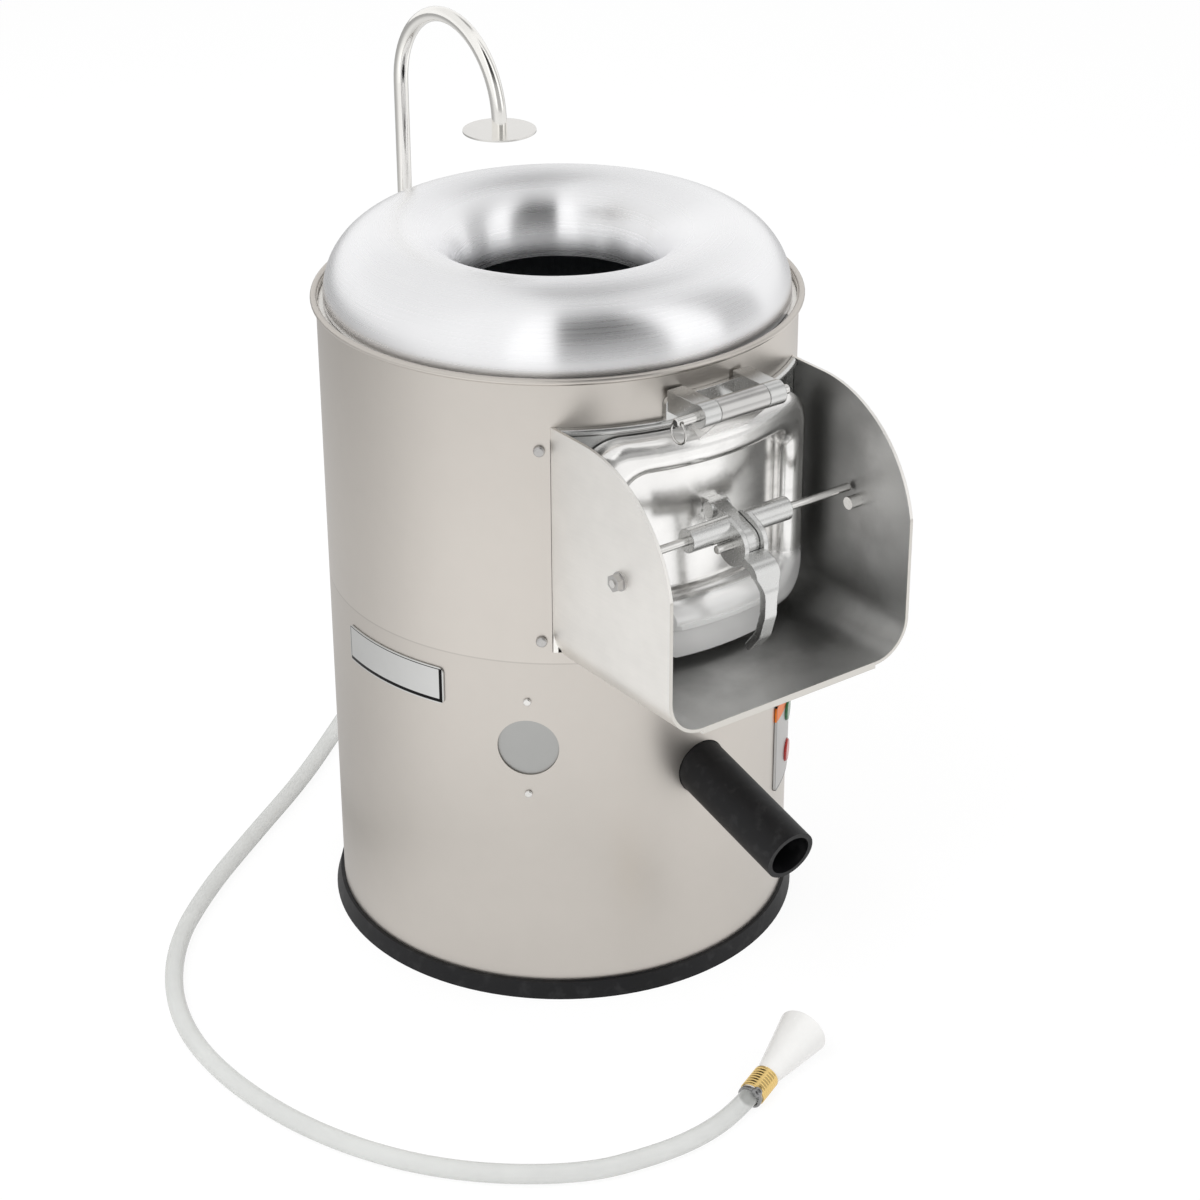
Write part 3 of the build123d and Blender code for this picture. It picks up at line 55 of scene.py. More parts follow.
# ------------------------------------------------------------------ shader expressions
class Sock:
    """A shader value that can be used in Python arithmetic."""

    def __init__(self, tree: bpy.types.NodeTree, source: bpy.types.NodeSocket) -> None:
        """Wraps an output socket of a node in the tree."""
        self.tree = tree
        self.source = source

    def maths(self, operation: str, *values: "Sock | float") -> "Sock":
        """Adds a Math node.

        Args:
            operation: the node's operation.
            values: links or numbers for its inputs, in order.

        Returns:
            The node's result.
        """
        node = self.tree.nodes.new("ShaderNodeMath")
        node.operation = operation
        for socket, value in zip(node.inputs, values):
            feed(self.tree, socket, value)
        return Sock(self.tree, node.outputs[0])

    def __add__(self, other: "Sock | float") -> "Sock":
        """Sum."""
        return self.maths("ADD", self, other)

    def __radd__(self, other: float) -> "Sock":
        """Sum with a number on the left."""
        return self.maths("ADD", other, self)

    def __sub__(self, other: "Sock | float") -> "Sock":
        """Difference."""
        return self.maths("SUBTRACT", self, other)

    def __rsub__(self, other: float) -> "Sock":
        """Difference from a number."""
        return self.maths("SUBTRACT", other, self)

    def __mul__(self, other: "Sock | float") -> "Sock":
        """Product."""
        return self.maths("MULTIPLY", self, other)

    def __truediv__(self, other: "Sock | float") -> "Sock":
        """Quotient."""
        return self.maths("DIVIDE", self, other)

    def step(self, low: float, high: float) -> "Sock":
        """Smooth step from 0 at low to 1 at high."""
        node = self.tree.nodes.new("ShaderNodeMapRange")
        node.interpolation_type = "SMOOTHSTEP"
        feed(self.tree, node.inputs["Value"], self)
        node.inputs["From Min"].default_value = low
        node.inputs["From Max"].default_value = high
        return Sock(self.tree, node.outputs["Result"])

    def size(self) -> "Sock":
        """Value without its sign."""
        return self.maths("ABSOLUTE", self)

    def root(self) -> "Sock":
        """Square root."""
        return self.maths("SQRT", self)

    def at_least(self, floor: float) -> "Sock":
        """The value, or the floor where the value is lower."""
        return self.maths("MAXIMUM", self, floor)

    def hump(self, centre: float, half_width: float, edge: float) -> "Sock":
        """1 within half_width of centre, falling to 0 over edge."""
        return 1.0 - (self - centre).size().step(half_width, half_width + edge)


def feed(tree: bpy.types.NodeTree, socket: bpy.types.NodeSocket, value: object) -> None:
    """Gives a node's input a link or a constant.

    Args:
        tree: the tree that holds the node.
        socket: the input.
        value: a Sock to link from, or a number, colour or vector to set.
    """
    if isinstance(value, Sock):
        tree.links.new(value.source, socket)
    elif isinstance(value, tuple) and len(value) == 3 and socket.type == "RGBA":
        socket.default_value = (*value, 1.0)
    else:
        socket.default_value = value


class Shader:
    """A node tree being written, for a material or the world."""

    def __init__(self, tree: bpy.types.NodeTree) -> None:
        """Empties the tree."""
        self.tree = tree
        tree.nodes.clear()

    def node(self, kind: str, settings: dict | None = None, inputs: dict | None = None,
             out: str | int = 0) -> Sock | None:
        """Adds a node.

        Args:
            kind: the node's type without its "ShaderNode" prefix.
            settings: attributes that are set first.
            inputs: values or links by socket name or number.
            out: the output that is returned.

        Returns:
            The chosen output, or None for a node that has none.
        """
        node = self.tree.nodes.new("ShaderNode" + kind)
        for name, value in (settings or {}).items():
            setattr(node, name, value)
        for name, value in (inputs or {}).items():
            feed(self.tree, node.inputs[name], value)
        return Sock(self.tree, node.outputs[out]) if node.outputs else None

    def axis(self, vector: Sock, name: str) -> Sock:
        """One component of a vector, by its letter."""
        return self.node("SeparateXYZ", {}, {0: vector}, name)

    def place(self, scale: Point = (1, 1, 1)) -> Sock:
        """Object coordinates, stretched by a scale along each axis."""
        here = self.node("TexCoord", out="Object")
        return self.node("VectorMath", {"operation": "MULTIPLY"}, {0: here, 1: scale})

    def noise(self, vector: Sock, scale: float, detail: float = 2.0) -> Sock:
        """Noise between 0 and 1."""
        inputs = {"Vector": vector, "Scale": scale, "Detail": detail}
        return self.node("TexNoise", {}, inputs, "Fac")

    def blend(self, factor: Sock, first: Colour | Sock, second: Colour | Sock) -> Sock:
        """Mixes two colours."""
        return self.node("Mix", {"data_type": "RGBA"}, {0: factor, 6: first, 7: second}, 2)

    def bump(self, height: Sock, distance: float, edge: float = 0.0) -> Sock:
        """Normal from a height between 0 and 1.

        Args:
            height: the pattern.
            distance: its depth in metres.
            edge: radius in metres over which sharp edges look rubbed round.

        Returns:
            The normal.
        """
        inputs = {"Height": height, "Distance": distance}
        if edge:
            inputs["Normal"] = self.node("Bevel", {"samples": 6}, {"Radius": edge})
        return self.node("Bump", {}, inputs, "Normal")


class Grain(Enum):
    """The way a metal surface was worked."""

    BLASTED = "fine even satin"
    LEVEL = "brushed along the level"
    SPUN = "turned rings about the vertical"
    CAST = "cast and rubbed down"
    BRIGHT = "polished"


def tinted(colour: Colour, factor: float) -> Colour:
    """A colour made lighter or darker."""
    return tuple(min(1.0, c * factor) for c in colour)


@dataclass(frozen=True)
class Metal:
    """Bare or plated metal with a worked surface."""

    colour: Colour
    roughness: float
    grain: Grain = Grain.BLASTED
    mottle: float = 0.06
    streak: float = 0.05
    relief: float = 0.00002
    anisotropy: float = 0.0
    turned: float = 0.0
    edge: float = 0.0

    def stretch(self) -> Point:
        """How much the grain's noise is squeezed along each axis."""
        return (0.04, 0.04, 1) if self.grain is Grain.LEVEL else (1, 1, 1)

    def fine(self, shader: Shader) -> Sock:
        """The fine pattern of the grain."""
        if self.grain is Grain.SPUN:
            here = shader.place()
            x = shader.axis(here, "X")
            y = shader.axis(here, "Y")
            radius = (x * x + y * y).root()
            rings = shader.node("CombineXYZ", {}, {"X": radius, "Y": shader.axis(here, "Z")})
            return shader.noise(rings, 420.0, 5.0)
        scale = {Grain.CAST: 420.0, Grain.BLASTED: 1600.0}.get(self.grain, 1100.0)
        return shader.noise(shader.place(self.stretch()), scale, 3.0)

    def tone(self, shader: Shader, colour: Sock) -> Sock:
        """The colour with the lines, smears, print and painted light and shade of one special
        piece; plain metal has none.
        """
        return colour

    def metallic(self, shader: Shader) -> Sock | float:
        """How metallic the surface is; plain metal is fully so, the door casting less in places."""
        return 1.0

    def build(self, name: str) -> bpy.types.Material:
        """Makes the material."""
        material, shader = new_material(name)
        fine = self.fine(shader)
        broad = shader.noise(shader.place(), 9.0, 4.0)
        worn = shader.noise(shader.place(), 55.0, 3.0)
        tone = broad * 0.55 + worn * 0.25 + fine * 0.2
        colour = shader.blend(tone.step(0.25, 0.75), tinted(self.colour, 1 - self.mottle),
                              tinted(self.colour, 1 + self.mottle))
        rough = self.roughness + (fine - 0.5) * (2 * self.streak) + (broad - 0.5) * self.streak
        height = fine if self.grain is not Grain.CAST else fine * 0.4 + worn * 0.6
        normal = shader.bump(height, self.relief, self.edge)
        principled(shader, {"Base Color": self.tone(shader, colour),
                            "Metallic": self.metallic(shader), "Roughness": rough,
                            "Anisotropic": self.anisotropy, "Anisotropic Rotation": self.turned,
                            "Normal": normal})
        return material


@dataclass(frozen=True)
class DrumSheet(Metal):
    """Sheet of the drum, with a faint lap line round it."""

    lap: float = 0.327

    def tone(self, shader: Shader, colour: Sock) -> Sock:
        """Darkens the lap line and, a little, the sheet below it."""
        height = shader.axis(shader.place(), "Z")
        line = height.hump(self.lap, 0.0003, 0.0006) * 0.22
        lower = (1.0 - height.step(self.lap - 0.001, self.lap + 0.001)) * 0.05
        return shader.blend(line + lower, colour, (0.18, 0.165, 0.15))


@dataclass(frozen=True)
class ChuteSheet(Metal):
    """Sheet of the chute, with painted shade on its inner faces, which are darker than its outside.
    """

    bend_place: tuple[float, float] = (0.090, 0.357)
    bend_radius: float = 0.0311
    front: float = 0.315
    back: float = 0.215
    # colours of the painted shade on the inner faces, at the front and by the drum
    shade_colour_at_front: Colour = (0.74, 0.74, 0.73)
    shade_colour_by_drum: Colour = (0.36, 0.36, 0.355)
    lip_colour: Colour = (0.66, 0.64, 0.60)

    def tone(self, shader: Shader, colour: Sock) -> Sock:
        """Darkens the front lip, and paints shade on the faces within the walls and bends, deepest
        by the drum.
        """
        here = shader.place()
        side = (shader.axis(here, "X").size() - self.bend_place[0]).at_least(0.0)
        drop = (self.bend_place[1] - shader.axis(here, "Z")).at_least(0.0)
        reach = (side * side + drop * drop).root()
        # mask of the faces within the walls and bends, which get the painted shade
        inside = 1.0 - reach.step(self.bend_radius - 0.0001, self.bend_radius + 0.0002)
        shade_fade_to_front = (shader.axis(here, "Y") * -1.0).step(self.back, self.front)
        shade_blotches = (shader.noise(shader.place(), 26.0, 5.0) - 0.5) * 0.9
        # painted shade: dark by the drum, lighter towards the front, blotched by noise
        inner = shader.blend((shade_fade_to_front + shade_blotches).step(0.0, 1.0), self.shade_colour_by_drum, self.shade_colour_at_front)
        lip = (shader.axis(here, "Y") * -1.0).step(self.front - 0.0006, self.front - 0.0002)
        return shader.blend(lip, shader.blend(inside, colour, inner), self.lip_colour)


@dataclass(frozen=True)
class DoorCasting(Metal):
    """Casting of the door: painted light whitens its bulge, which is also less metallic; darker at
    its hinge.
    """

    bulge_high: float = 0.386
    rib_low: float = 0.520
    rib_high: float = 0.530
    knuckle_low: float = 0.538
    change: float = 0.006

    def bulge_mask(self, height: Sock) -> Sock:
        """1 on the bulge, 0 above it."""
        return 1.0 - height.step(self.bulge_high - 0.012, self.bulge_high + 0.004)

    def tone(self, shader: Shader, colour: Sock) -> Sock:
        """Paints light on the bulge by whitening it, darkens the knuckle and smears the field."""
        height = shader.axis(shader.place(), "Z")
        smears = shader.noise(shader.place((1, 1, 2.4)), 21.0, 4.0).step(0.52, 0.66) * 0.16
        smears = smears * height.step(self.bulge_high, self.bulge_high + 0.02)
        # the colour is darker from the knuckle up
        knuckle_darkening = height.step(self.knuckle_low, self.knuckle_low + self.change) * 0.58
        # painted light: the bulge is blended towards white
        painted_light_bulge = shader.blend(self.bulge_mask(height) * 0.9, colour, (1.0, 0.995, 0.985))
        return shader.blend(smears + knuckle_darkening, painted_light_bulge, (0.38, 0.37, 0.36))

    def metallic(self, shader: Shader) -> Sock | float:
        """Less metallic on the bulge and along the top of the rib."""
        height = shader.axis(shader.place(), "Z")
        rib = height.step(self.rib_low, self.rib_low + self.change)
        rib = rib * (1.0 - height.step(self.rib_high, self.rib_high + self.change))
        return 1.0 - self.bulge_mask(height) * 0.78 - rib * 0.4


@dataclass(frozen=True)
class Plaque(Metal):
    """Bare plate with a black line round its face, and a band of colour where one is set."""

    turn: float = 0.0
    height: float = 0.0
    radius: float = 0.2045
    half_width: float = 0.059
    half_height: float = 0.017
    line: tuple[float, float] = (0.0012, 0.0020)
    shade: float = 0.0
    soft: float = 0.0001
    band: float = 1.0
    band_colour: Colour = (0.0, 0.0, 0.0)

    def tone(self, shader: Shader, colour: Sock) -> Sock:
        """Draws the line inside the plate's edge, thicker below and at the right by shade."""
        here = shader.place()
        angle = shader.axis(here, "X")
        angle = angle.maths("ARCTAN2", angle, shader.axis(here, "Y") * -1.0)
        along = (angle - math.radians(self.turn)) * self.radius
        up = shader.axis(here, "Z") - self.height
        inset = along.maths("MINIMUM", self.half_width - along.size(), self.half_height - up.size())
        shaded = along.maths("MINIMUM", self.half_width - along, self.half_height + up)
        start, end = self.line
        thick_end = end + self.shade
        outer = inset.step(start - self.soft, start + self.soft)
        inner = inset.step(end - self.soft, end + self.soft)
        inner = inner * shaded.step(thick_end - self.soft, thick_end + self.soft)
        line = outer * (1.0 - inner)
        face = shader.blend(up.step(self.band, self.band + 0.0002), colour, self.band_colour)
        return shader.blend(line, face, (0.012, 0.012, 0.012))


@dataclass(frozen=True)
class Solid:
    """Rubber, plastic or paint."""

    colour: Colour
    roughness: float
    mottle: float = 0.08
    pebble: float = 500.0
    relief: float = 0.00003
    dust: float = 0.0
    coat: float = 0.0
    shine: float = 0.5

    def build(self, name: str) -> bpy.types.Material:
        """Makes the material."""
        material, shader = new_material(name)
        fine = shader.noise(shader.place(), self.pebble, 3.0)
        broad = shader.noise(shader.place(), 14.0, 4.0)
        tone = (broad * 0.7 + fine * 0.3).step(0.3, 0.7)
        colour = shader.blend(tone, tinted(self.colour, 1 - self.mottle),
                              tinted(self.colour, 1 + self.mottle))
        if self.dust:
            grey = tuple(c + self.dust * (0.5 - c) for c in self.colour)
            spots = shader.noise(shader.place(), 90.0, 5.0).step(0.52, 0.72)
            colour = shader.node("Mix", {"data_type": "RGBA"}, {0: spots, 6: colour, 7: grey}, 2)
        rough = self.roughness + (broad - 0.5) * 0.16 + (fine - 0.5) * 0.06
        principled(shader, {"Base Color": colour, "Roughness": rough, "Coat Weight": self.coat,
                            "Coat Roughness": 0.1, "Specular IOR Level": self.shine,
                            "Normal": shader.bump(fine, self.relief)})
        return material


@dataclass(frozen=True)
class Grit:
    """Coarse abrasive grains set in a dark binder."""

    grain_colour: Colour = (0.035, 0.038, 0.042)
    binder: Colour = (0.008, 0.009, 0.010)
    grain_size: float = 900.0

    def build(self, name: str) -> bpy.types.Material:
        """Makes the material."""
        material, shader = new_material(name)
        cells = shader.node("TexVoronoi", {}, {"Vector": shader.place(), "Scale": self.grain_size},
                            "Distance")
        broad = shader.noise(shader.place(), 30.0, 4.0)
        face = 1.0 - cells.step(0.1, 0.7)
        colour = shader.blend(face * 0.8 + broad * 0.2, self.binder, self.grain_colour)
        principled(shader, {"Base Color": colour, "Roughness": 0.45 + broad * 0.3,
                            "Normal": shader.bump(face, 0.0004)})
        return material


@dataclass(frozen=True)
class Clear:
    """See-through flexible tube or translucent moulding."""

    colour: Colour = (0.70, 0.71, 0.69)
    roughness: float = 0.10
    centre: float = 0.50
    rim: float = 0.92

    def build(self, name: str) -> bpy.types.Material:
        """Makes the material."""
        material, shader = new_material(name)
        broad = shader.noise(shader.place(), 22.0, 3.0)
        colour = shader.blend(broad.step(0.3, 0.7), tinted(self.colour, 0.93), self.colour)
        facing = shader.node("LayerWeight", {}, {"Blend": 0.5}, "Facing")
        wall = facing.step(0.35, 0.95)
        principled(shader, {"Base Color": colour, "Roughness": self.roughness + broad * 0.06,
                            "Alpha": self.centre + wall * (self.rim - self.centre),
                            "Normal": shader.bump(broad, 0.0004)})
        return material


def new_material(name: str) -> tuple[bpy.types.Material, Shader]:
    """An empty node material and its shader."""
    material = bpy.data.materials.new(name)
    material.use_nodes = True
    return material, Shader(material.node_tree)


def principled(shader: Shader, inputs: dict) -> None:
    """Ends a material's tree in a Principled BSDF with these inputs."""
    surface = shader.node("BsdfPrincipled", {}, inputs)
    shader.node("OutputMaterial", {}, {"Surface": surface})


# ------------------------------------------------------------------ modelling by operators
class Bench:
    """Edit-mode modelling on one object."""

    def __init__(self, name: str) -> None:
        """Starts a piece with no faces."""
        bpy.ops.object.select_all(action="DESELECT")
        bpy.ops.mesh.primitive_plane_add(size=0.01, location=(0, 0, 0))
        self.obj = bpy.context.object
        self.obj.name = name
        self.obj.data.name = name

    def __enter__(self) -> "Bench":
        """Opens edit mode with everything selected."""
        bpy.ops.object.mode_set(mode="EDIT")
        bpy.ops.mesh.select_all(action="SELECT")
        return self

    def __exit__(self, *error: object) -> None:
        """Closes edit mode."""
        bpy.ops.object.mode_set(mode="OBJECT")

    def clear(self) -> None:
        """Deletes every vertex of the mesh being edited."""
        bpy.ops.mesh.select_all(action="SELECT")
        bpy.ops.mesh.delete(type="VERT")

    def draw(self, points: Sequence[Point]) -> None:
        """Draws an open line of edges by extruding one vertex from point to point."""
        bpy.ops.mesh.select_all(action="SELECT")
        bpy.ops.mesh.merge(type="CENTER")
        mesh = bmesh.from_edit_mesh(self.obj.data)
        mesh.verts.ensure_lookup_table()
        mesh.verts[0].co = Vector(points[0])
        bmesh.update_edit_mesh(self.obj.data)
        for before, after in zip(points, points[1:]):
            move = {"value": tuple(b - a for a, b in zip(before, after))}
            bpy.ops.mesh.extrude_region_move(TRANSFORM_OT_translate=move)

    def spin(self, steps: int, centre: Point = (0, 0, 0), axis: Point = (0, 0, 1)) -> None:
        """Turns the drawn line once round an axis and closes it."""
        bpy.ops.mesh.select_all(action="SELECT")
        bpy.ops.mesh.spin(steps=steps, angle=2 * math.pi, center=centre, axis=axis)
        bpy.ops.mesh.select_all(action="SELECT")
        bpy.ops.mesh.remove_doubles(threshold=0.00001)
        bpy.ops.mesh.normals_make_consistent(inside=False)


def lathe(name: str, profile: Sequence[tuple[float, float]], steps: int = 96) -> bpy.types.Object:
    """Closed solid of revolution about the drum's axis.

    Args:
        name: the piece's name.
        profile: (radius, height) corners in millimetres; the last joins the first.
        steps: facets round the axis.

    Returns:
        The piece.
    """
    bench = Bench(name)
    loop = [*profile, profile[0]]
    with bench:
        bench.draw([(radius * MM, 0.0, height * MM) for radius, height in loop])
        bench.spin(steps)
    soften(bench.obj)
    return bench.obj


def soften(obj: bpy.types.Object, angle: float = 35.0) -> None:
    """Shades a piece smooth across edges flatter than an angle in degrees."""
    choose(obj)
    bpy.ops.object.shade_smooth_by_angle(angle=math.radians(angle))


def choose(obj: bpy.types.Object) -> None:
    """Selects one object alone and makes it active."""
    bpy.ops.object.select_all(action="DESELECT")
    obj.select_set(True)
    bpy.context.view_layer.objects.active = obj


def arc(centre: tuple[float, float], radius: float, start: float, end: float,
        count: int) -> list[tuple[float, float]]:
    """Points along an arc, from a start to an end angle in degrees."""
    turns = [math.radians(start + (end - start) * i / count) for i in range(count + 1)]
    return [(centre[0] + radius * math.cos(t), centre[1] + radius * math.sin(t)) for t in turns]


def finish_piece(obj: bpy.types.Object, body: str, slot: str, material: bpy.types.Material,
                 *nodes: str) -> None:
    """Gives a piece its material and body, and hides the CAD nodes it stands for."""
    obj.data.materials.clear()
    obj.data.materials.append(material)
    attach(obj, body)
    if nodes:
        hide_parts(*nodes)
    log.info("%s rides on %s", obj.name, body)


# ------------------------------------------------------------------ finishes
class Finishes:
    """Every material of the machine by its record slot."""

    def __init__(self) -> None:
        """Builds the materials."""
        table = {
            "satin_stainless": DrumSheet((0.625, 0.588, 0.545), 0.36, Grain.BLASTED, 0.02, 0.03),
            "black_rubber": Solid((0.006, 0.006, 0.007), 0.5, 0.2, 700.0, 0.00004, 0.02,
                                  shine=0.28),
            "grey_paint": Solid((0.16, 0.165, 0.17), 0.45),
            "brushed_stainless": ChuteSheet((0.935, 0.915, 0.88), 0.42, Grain.LEVEL, 0.05, 0.06,
                                            edge=0.0006),
            "cast_aluminium": Metal((0.66, 0.66, 0.65), 0.26, Grain.CAST, 0.05, 0.04, 0.000012,
                                    edge=0.0009),
            "polished_aluminium": DoorCasting((0.88, 0.87, 0.855), 0.20, Grain.CAST, 0.08, 0.06,
                                              0.00003, edge=0.0010),
            "spun_aluminium": Metal((0.945, 0.945, 0.955), 0.28, Grain.SPUN, 0.02, 0.07, 0.0000016,
                                    anisotropy=0.9, turned=0.25),
            "bright_steel": Metal((0.72, 0.71, 0.69), 0.20, Grain.BRIGHT, 0.08, 0.05, edge=0.0004),
            "dark_steel": Metal((0.30, 0.30, 0.30), 0.22, Grain.BRIGHT, 0.08, 0.05),
            "worn_steel": Metal((0.50, 0.49, 0.48), 0.30, Grain.CAST, 0.14, 0.08, edge=0.0003),
            "polished_pipe": Metal((0.965, 0.95, 0.915), 0.14, Grain.BRIGHT, 0.03, 0.02, 0.000005),
            "disc_steel": Metal((0.80, 0.785, 0.76), 0.22, Grain.BRIGHT, 0.04, 0.03, 0.000005),
            "white_rubber": Solid((0.62, 0.62, 0.60), 0.5),
            "grey_plastic": Solid((0.17, 0.175, 0.18), 0.4),
            "plate_grey": Metal((0.42, 0.42, 0.41), 0.42, Grain.BLASTED, 0.03, 0.03),
            "plate_silver": Plaque((0.62, 0.62, 0.61), 0.34, Grain.LEVEL, 0.04, 0.05,
                                   turn=-81.0, height=0.294, shade=0.0022),
            "switch_face": Plaque((0.50, 0.49, 0.48), 0.38, Grain.LEVEL, 0.04, 0.05, turn=42.0,
                                  height=0.172, half_width=0.040, half_height=0.044,
                                  line=(0.0010, 0.0020), band=0.028,
                                  band_colour=(0.80, 0.20, 0.03)),
            "black_plastic": Solid((0.015, 0.015, 0.016), 0.35),
            "green_plastic": Solid((0.01, 0.13, 0.035), 0.25, coat=0.3),
            "red_plastic": Solid((0.42, 0.012, 0.008), 0.25, coat=0.3),
            "grit_coat": Grit(),
            "lining_black": Solid((0.115, 0.122, 0.132), 0.34, 0.15, 900.0, 0.00003),
            "cast_iron": Metal((0.18, 0.18, 0.19), 0.5, Grain.CAST, 0.12, 0.1, 0.0001),
            "motor_paint": Solid((0.03, 0.045, 0.065), 0.4),
            "laminations": Metal((0.25, 0.25, 0.26), 0.4, Grain.LEVEL, 0.1, 0.08),
            "brass": Metal((0.83, 0.60, 0.24), 0.18, Grain.BRIGHT, 0.08, 0.05),
            "clear_pvc": Clear(),
            "white_plastic": Solid((0.86, 0.855, 0.84), 0.25, 0.02, 300.0, 0.00002, 0.0, 0.3),
        }
        self.by_slot = {slot: finish.build(slot) for slot, finish in table.items()}

    def __getitem__(self, slot: str) -> bpy.types.Material:
        """The material of a slot."""
        return self.by_slot[slot]

    def dress_nodes(self) -> None:
        """Gives every CAD node the material of its slot."""
        for entry in frame["record"]["subparts"]:
            obj = frame["nodes"][entry["node"]]
            special = {"switch_plate": "switch_face", "chute_screws": "worn_steel",
                       "stud_nuts": "worn_steel", "deflector_disc": "disc_steel"}
            material = self.by_slot[special.get(entry["node"], entry["material_slot"])]
            if obj.material_slots:
                for slot in obj.material_slots:
                    slot.material = material
            else:
                obj.data.materials.append(material)
            for polygon in obj.data.polygons:
                polygon.material_index = 0
        log.info("%d nodes dressed", len(frame["nodes"]))


# ------------------------------------------------------------------ sub-assemblies
@dataclass
class Cover:
    """Spun doughnut cover with a rolled inner rim."""

    outer: float = 197.0
    mouth: float = 81.0
    sheet: float = 2.5
    low: float = 573.3
    skirt: float = 5.0
    steps: int = 192

    def build(self, finishes: Finishes) -> None:
        """Spins the cover."""
        middle = (self.outer + self.mouth) / 2
        radius = (self.outer - self.mouth) / 2
        centre = (middle, self.low + self.skirt)
        profile = [(self.outer - 0.4, self.low), (self.outer, self.low + 0.6)]
        profile += arc(centre, radius, 0, 180, 72)
        profile += [(self.mouth, self.low + 2.2), (self.mouth + 0.8, self.low + 1.2)]
        profile += [(self.mouth + self.sheet, self.low + 2.0)]
        profile += arc(centre, radius - self.sheet, 180, 0, 72)
        profile += [(self.outer - self.sheet, self.low)]
        cover = lathe("spun_cover", profile, self.steps)
        finish_piece(cover, "cover", "spun_aluminium", finishes["spun_aluminium"], "top_cover")


@dataclass
class Lining:
    """Abrasive lining of the hopper, ribbed below and plain above."""

    outer: float = 187.8
    root: float = 182.2
    tip: float = 178.2
    plain: float = 182.1
    low: float = 300.5
    throat_low: float = 348.0
    rib_high: float = 484.0
    throat_high: float = 500.0
    throat_half_width: float = 97.0
    high: float = 566.0
    ribs: int = 196

    def build(self, finishes: Finishes) -> None:
        """Makes the ring of saw-tooth ribs, with the throat cut out."""
        bench = Bench("ribbed_lining")
        with bench:
            bench.clear()
        step = 2 * math.pi / self.ribs
        mesh = bmesh.new()
        rows = []
        for height, tip in ((self.low, self.tip), (self.throat_low, self.tip),
                            (self.rib_high, self.tip), (self.rib_high, self.plain),
                            (self.throat_high, self.plain), (self.high, self.plain)):
            row = []
            for index in range(self.ribs):
                for radius, share in ((self.root, 0.0), (tip, 0.45), (tip, 0.55)):
                    turn = (index + share) * step
                    row.append(mesh.verts.new((radius * MM * math.cos(turn),
                                               radius * MM * math.sin(turn), height * MM)))
            rows.append(row)
        count = len(rows[0])
        for level, (below, above) in enumerate(zip(rows, rows[1:])):
            for i in range(count):
                j = (i + 1) % count
                middle = (below[i].co + below[j].co) / 2
                at_throat = middle.y < 0 and abs(middle.x) < self.throat_half_width * MM
                if 1 <= level <= 3 and at_throat:
                    continue
                mesh.faces.new((below[j], below[i], above[i], above[j]))
        for edge_row, turned in ((rows[0], False), (rows[-1], True)):
            rim = []
            for vert in edge_row:
                out = vert.co.copy()
                scale = self.outer * MM / math.hypot(out.x, out.y)
                rim.append(mesh.verts.new((out.x * scale, out.y * scale, out.z)))
            for i in range(count):
                j = (i + 1) % count
                corners = (edge_row[i], edge_row[j], rim[j], rim[i])
                mesh.faces.new(corners if turned else corners[::-1])
        mesh.to_mesh(bench.obj.data)
        mesh.free()
        finish_piece(bench.obj, "housing", "lining_black", finishes["lining_black"], "hopper_liner")


